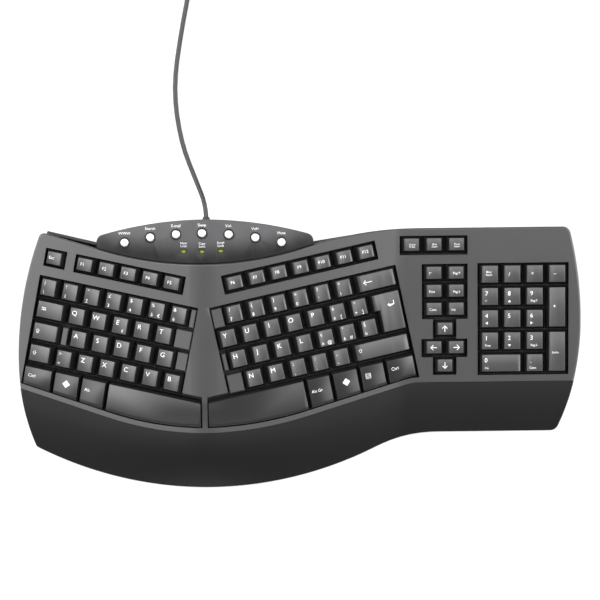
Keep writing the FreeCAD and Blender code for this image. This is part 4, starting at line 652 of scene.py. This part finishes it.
KEY_APART = 19.05
LETTER_SIZE = 5.7
LETTER_ASIDE = -0.13
LETTER_DOWN = -0.12
PAIR_SIZE = 4.1
PAIR_ASIDE = (-0.19, -0.19, 0.12)
PAIR_DOWN = (0.22, -0.2, 0.22)


def field_matrix(side):
    """Place and rotation of one field of keys."""
    return (Matrix.Translation([value / 1000 for value in FIELDS[side][0]])
            @ field_turn(side).to_4x4())


def letters(marks, first, row):
    """One large mark at the upper left of each cap in a row."""
    return [(mark, first + number + LETTER_ASIDE, row + LETTER_DOWN, LETTER_SIZE)
            for number, mark in enumerate(marks)]


def pairs(groups, first, row):
    """Plain mark below, shifted mark above, and a third at the lower right."""
    marks = []
    for number, group in enumerate(groups):
        for mark, aside, down in zip(group, PAIR_ASIDE, PAIR_DOWN):
            marks.append((mark, first + number + aside, row + down, PAIR_SIZE))
    return marks


LEGENDS = {
    "key_escape": ("left", [("Esc", 0.40, -1.35, 3.6)]),
    "keys_function_left": ("left", [("F%d" % (number + 1), 1.83 + number, -1.34, 3.8)
                                    for number in range(5)]),
    "keys_number_left": ("left", pairs(["\\|", "1!", '2"', "3\u00a3", "4$", "5%\u20ac", "6&"],
                                       0.5, 0)),
    "key_tab": ("left", [("\u2b7e", 0.46, 0.98, 5.4)]),
    "keys_top_letters_left": ("left", letters("QWERT", 2.0, 1) + [("\u20ac", 4.14, 1.22, 3.2)]),
    "key_caps_lock": ("left", [("\u21ea", 0.36, 1.99, 4.2)]),
    "keys_home_letters_left": ("left", letters("ASDFG", 2.25, 2)),
    "key_shift_left": ("left", [("\u21e7", 0.39, 3.0, 4.2)]),
    "keys_bottom_letters_left": ("left", pairs(["<>"], 1.75, 3) + letters("ZXCVB", 2.75, 3)),
    "keys_modifier_left": ("left", [("Ctrl", 0.44, 4.04, 4.0), ("\u25c6", 2.05, 4.12, 7.0),
                                    ("Alt", 3.04, 4.15, 4.0)]),
    "keys_function_right": ("right", [("F%d" % (number + 6), 7.72 + 1.01 * number, -1.35, 3.8)
                                      for number in range(7)]),
    "keys_number_right": ("right", pairs(["7/", "8(", "9)", "0=", "'?", "\u00ec^"], 7.5, 0)),
    "key_backspace": ("right", [("\u27f5", 13.6, 0.0, 7.0)]),
    "keys_top_letters_right": ("right", letters("YUIOP", 7.0, 1)
                               + pairs(["\u00e8\u00e9[", "+*]"], 12.0, 1)),
    "key_enter": ("right", [("\u21b5", 14.42, 1.2, 7.6)]),
    "keys_home_letters_right": ("right", letters("HJKL", 7.25, 2)
                                + pairs(["\u00f2\u00e7@", "\u00e0\u00b0#", "\u00f9\u00a7"],
                                        11.25, 2)),
    "keys_bottom_letters_right": ("right", letters("NM", 7.75, 3)
                                  + pairs([",;", ".:", "-_"], 9.75, 3)),
    "key_shift_right": ("right", [("\u21e7", 12.63, 2.94, 4.2)]),
    "keys_modifier_right": ("right", [("Alt Gr", 10.36, 4.24, 3.7), ("\u25c6", 11.72, 4.18, 7.0),
                                      ("\u25a4", 12.75, 4.14, 6.2), ("Ctrl", 14.0, 4.08, 4.0)]),
    "keys_system": ("pad", [("Stamp\nR Sist", -3.46, -1.34, 2.2),
                            ("Bloc\nScorr", -2.46, -1.34, 2.2),
                            ("Pausa\nInterr", -1.46, -1.34, 2.2)]),
    "keys_navigation": ("pad", [("\u2196", -2.65, -0.09, 4.0), ("Pag\u2191", -1.48, -0.09, 3.0),
                                ("Fine", -2.59, 0.73, 3.0), ("Pag\u2193", -1.48, 0.74, 3.0),
                                ("Canc", -2.55, 1.54, 3.0), ("Ins", -1.63, 1.54, 3.0)]),
    "keys_arrow": ("pad", [("\u2191", -2.02, 2.42, 7.6), ("\u2190", -2.52, 3.25, 7.6),
                           ("\u2192", -1.5, 3.25, 7.6), ("\u2193", -2.02, 4.08, 7.6)]),
    "keys_numpad_top": ("pad", [("Bloc\nNum", -0.04, -0.06, 2.7), ("/", 0.86, -0.01, 4.4),
                                ("*", 1.9, 0.0, 5.0), ("\u2212", 2.9, 0.0, 4.4)]),
    "keys_numpad_789": ("pad", [("7", -0.15, 0.85, 5.2), ("\u2196", -0.16, 1.18, 3.0),
                                ("8", 0.86, 0.85, 5.2), ("\u25b2", 0.87, 1.19, 2.6),
                                ("9", 1.86, 0.85, 5.2), ("Pag\u2191", 1.98, 1.18, 2.8)]),
    "keys_numpad_456": ("pad", [("4", -0.15, 1.85, 5.2), ("\u25c0", -0.15, 2.18, 2.6),
                                ("5", 0.86, 1.85, 5.2), ("6", 1.86, 1.85, 5.2),
                                ("\u25b6", 1.86, 2.18, 2.6)]),
    "keys_numpad_123": ("pad", [("1", -0.16, 2.85, 5.2), ("Fine", -0.1, 3.18, 2.8),
                                ("2", 0.86, 2.85, 5.2), ("\u25bc", 0.87, 3.19, 2.6),
                                ("3", 1.86, 2.85, 5.2), ("Pag\u2193", 1.98, 3.18, 2.8)]),
    "key_numpad_plus": ("pad", [("+", 2.88, 1.44, 5.0)]),
    "key_numpad_enter": ("pad", [("Invio", 2.93, 3.52, 2.9)]),
    "key_numpad_zero": ("pad", [("0", -0.18, 3.85, 5.2), ("Ins", -0.15, 4.19, 2.8)]),
    "key_numpad_delete": ("pad", [(".", 1.83, 3.88, 5.6), ("Canc", 1.92, 4.2, 2.8)]),
}
for name, (side, marks) in LEGENDS.items():
    column, row = FIELDS[side][2]
    flat = [(mark, (at - column) * KEY_APART, (row - down) * KEY_APART, size)
            for mark, at, down, size in marks]
    printed(name + "_legends", flat, field_matrix(side), node(name), name)


# Finding marks: a small raised bar at the front of the F and J caps, in the cap's
# plastic. Each goes down with its row.

BAR_LONG = 3.4
BAR_WIDE = 0.8
BAR_HIGH = 0.9
BAR_AHEAD = 4.6
BAR_RISE = 3.45
BAR_ROUNDING = 0.00035
HOME_ROW = 2

for side, name, column in (("left", "keys_home_letters_left", 5.25),
                           ("right", "keys_home_letters_right", 8.25)):
    first, middle = FIELDS[side][2]
    bpy.ops.object.select_all(action="DESELECT")
    bpy.ops.mesh.primitive_cube_add(size=1.0)
    bar = bpy.context.object
    bar.name = "home_bar_" + side
    bar.scale = (BAR_LONG / 1000, BAR_WIDE / 1000, BAR_HIGH / 1000)
    bpy.ops.object.transform_apply(location=False, rotation=False, scale=True)
    rounding = bar.modifiers.new("rounding", "BEVEL")
    rounding.width = BAR_ROUNDING
    rounding.segments = 3
    bpy.ops.object.modifier_apply(modifier=rounding.name)
    place = ((column - first) * KEY_APART, (middle - HOME_ROW) * KEY_APART - BAR_AHEAD, BAR_RISE)
    bar.matrix_world = (field_matrix(side)
                        @ Matrix.Translation([value / 1000 for value in place]))
    bpy.ops.object.transform_apply(location=True, rotation=True, scale=True)
    bpy.ops.object.shade_smooth_by_angle(angle=math.radians(SMOOTH_ANGLE))
    wear(node(name).data.materials[0], bar)
    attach(bar, name)


# Underside: rubber feet in shallow seats and plated screws. The folding tilt feet have
# the base's plastic.


def plated_metal(name, colour, roughness, grain, depth, unevenness):
    """Zinc plating, uneven in tone and gloss."""
    material = moulding(name, colour, roughness, grain=grain, depth=depth,
                        unevenness=unevenness)
    shader = material.node_tree.nodes["Principled BSDF"]
    shader.inputs["Metallic"].default_value = 1.0
    return material


wear(moulding("foot_rubber", (0.03, 0.03, 0.03), 0.8, grain=1800.0, depth=0.7, specular=0.3),
     node("rubber_feet"))
wear(plated_metal("screw_zinc", (0.32, 0.32, 0.34), 0.38, 900.0, 0.1, 0.3),
     node("case_screws"))


# Inside: rubber dome sheets on the printed contact film, steel plates under them, and
# the two boards.

wear(moulding("dome_rubber", (0.7, 0.7, 0.67), 0.6, grain=1200.0, depth=0.2),
     node("dome_sheets"))
wear(moulding("contact_film", (0.6, 0.63, 0.6), 0.2, depth=0.05), node("contact_membranes"))
wear(moulding("board_lacquer", (0.03, 0.2, 0.07), 0.35, depth=0.1), node("controller_board"))
wear(moulding("strip_film", (0.5, 0.26, 0.06), 0.3, depth=0.1), node("hotkey_board"))
wear(plated_metal("plate_zinc", (0.55, 0.56, 0.58), 0.42, 400.0, 0.05, 0.35),
     node("support_plates"))


# Floor and light: a pale floor that glares a little towards the camera, a studio of
# soft light banks overhead and to both sides, white where the camera sees it, and one
# softbox at the rear left.

FLOOR_SIZE = 8.0
FLOOR_BELOW = 0.0002
FLOOR_GLARE = 0.6
OVERHEAD_PEAK = 2.5
BESIDE_PEAK = 3.2
FILL_LIGHT = 0.2
SOFTBOX_PLACE = (-0.75, 0.95, 1.05)
SOFTBOX_TURN = (-41.0, -30.0, 0.0)
SOFTBOX_SIZE = 0.8
SOFTBOX_ENERGY = 5.0

bpy.ops.mesh.primitive_plane_add(size=FLOOR_SIZE, location=(0.0, 0.0, -FLOOR_BELOW))
floor = bpy.context.object
floor.name = "floor"
paper, shader = principled("floor_paper")
tree = paper.node_tree
seen = tree.nodes.new("ShaderNodeLightPath")
paper_tone = tree.nodes.new("ShaderNodeMix")
paper_tone.data_type = "RGBA"
paper_tone.inputs["A"].default_value = (0.75, 0.75, 0.75, 1)
paper_tone.inputs["B"].default_value = (0.98, 0.98, 0.98, 1)
tree.links.new(seen.outputs["Is Camera Ray"], paper_tone.inputs["Factor"])
tree.links.new(paper_tone.outputs["Result"], shader.inputs["Base Color"])
shader.inputs["Roughness"].default_value = 0.9
glare = tree.nodes.new("ShaderNodeEmission")
glare.inputs["Strength"].default_value = 1.0
glare_share = tree.nodes.new("ShaderNodeMath")
glare_share.operation = "MULTIPLY"
glare_share.inputs[1].default_value = FLOOR_GLARE
lit = tree.nodes.new("ShaderNodeMixShader")
tree.links.new(seen.outputs["Is Camera Ray"], glare_share.inputs[0])
tree.links.new(glare_share.outputs[0], lit.inputs["Fac"])
tree.links.new(shader.outputs["BSDF"], lit.inputs[1])
tree.links.new(glare.outputs["Emission"], lit.inputs[2])
tree.links.new(lit.outputs["Shader"], tree.nodes["Material Output"].inputs["Surface"])
wear(paper, floor)

world = bpy.data.worlds.new("studio")
world.use_nodes = True
tree = world.node_tree
sky = tree.nodes["Background"]
sky.inputs["Color"].default_value = (1.0, 1.0, 1.0, 1)
towards = tree.nodes.new("ShaderNodeTexCoord")
parts = tree.nodes.new("ShaderNodeSeparateXYZ")
sideways = tree.nodes.new("ShaderNodeMath")
sideways.operation = "ABSOLUTE"
tree.links.new(towards.outputs["Generated"], parts.inputs["Vector"])
tree.links.new(parts.outputs["X"], sideways.inputs[0])
rearward = parts.outputs["Y"]
aside = sideways.outputs[0]


def light_bank(peak, edges):
    """Soft-edged panel of light: each edge fades in one part of the direction."""
    glow = None
    for source, dark, bright in edges:
        fade = tree.nodes.new("ShaderNodeMapRange")
        fade.interpolation_type = "SMOOTHSTEP"
        fade.inputs["From Min"].default_value = dark
        fade.inputs["From Max"].default_value = bright
        tree.links.new(source, fade.inputs["Value"])
        step = tree.nodes.new("ShaderNodeMath")
        step.operation = "MULTIPLY"
        tree.links.new(fade.outputs["Result"], step.inputs[0])
        if glow is None:
            step.inputs[1].default_value = peak
        else:
            tree.links.new(glow, step.inputs[1])
        glow = step.outputs[0]
    return glow


overhead = light_bank(OVERHEAD_PEAK, [(rearward, -0.18, 0.04), (rearward, 0.6, 0.35)])
beside = light_bank(BESIDE_PEAK, [(aside, 0.22, 0.46), (aside, 0.95, 0.75),
                                  (rearward, -0.6, -0.1), (rearward, 0.6, 0.3)])
banks = tree.nodes.new("ShaderNodeMath")
tree.links.new(overhead, banks.inputs[0])
tree.links.new(beside, banks.inputs[1])
strength = tree.nodes.new("ShaderNodeMath")
strength.inputs[1].default_value = FILL_LIGHT
tree.links.new(banks.outputs[0], strength.inputs[0])
backdrop = tree.nodes.new("ShaderNodeLightPath")
shown = tree.nodes.new("ShaderNodeMix")
shown.inputs["B"].default_value = 1.0
tree.links.new(backdrop.outputs["Is Camera Ray"], shown.inputs["Factor"])
tree.links.new(strength.outputs[0], shown.inputs["A"])
tree.links.new(shown.outputs["Result"], sky.inputs["Strength"])
bpy.context.scene.world = world

bpy.ops.object.light_add(type="AREA", location=SOFTBOX_PLACE,
                         rotation=[math.radians(value) for value in SOFTBOX_TURN])
softbox = bpy.context.object
softbox.name = "softbox"
softbox.data.shape = "RECTANGLE"
softbox.data.size = SOFTBOX_SIZE
softbox.data.size_y = SOFTBOX_SIZE
softbox.data.energy = SOFTBOX_ENERGY

bpy.context.scene.view_settings.view_transform = "Standard"
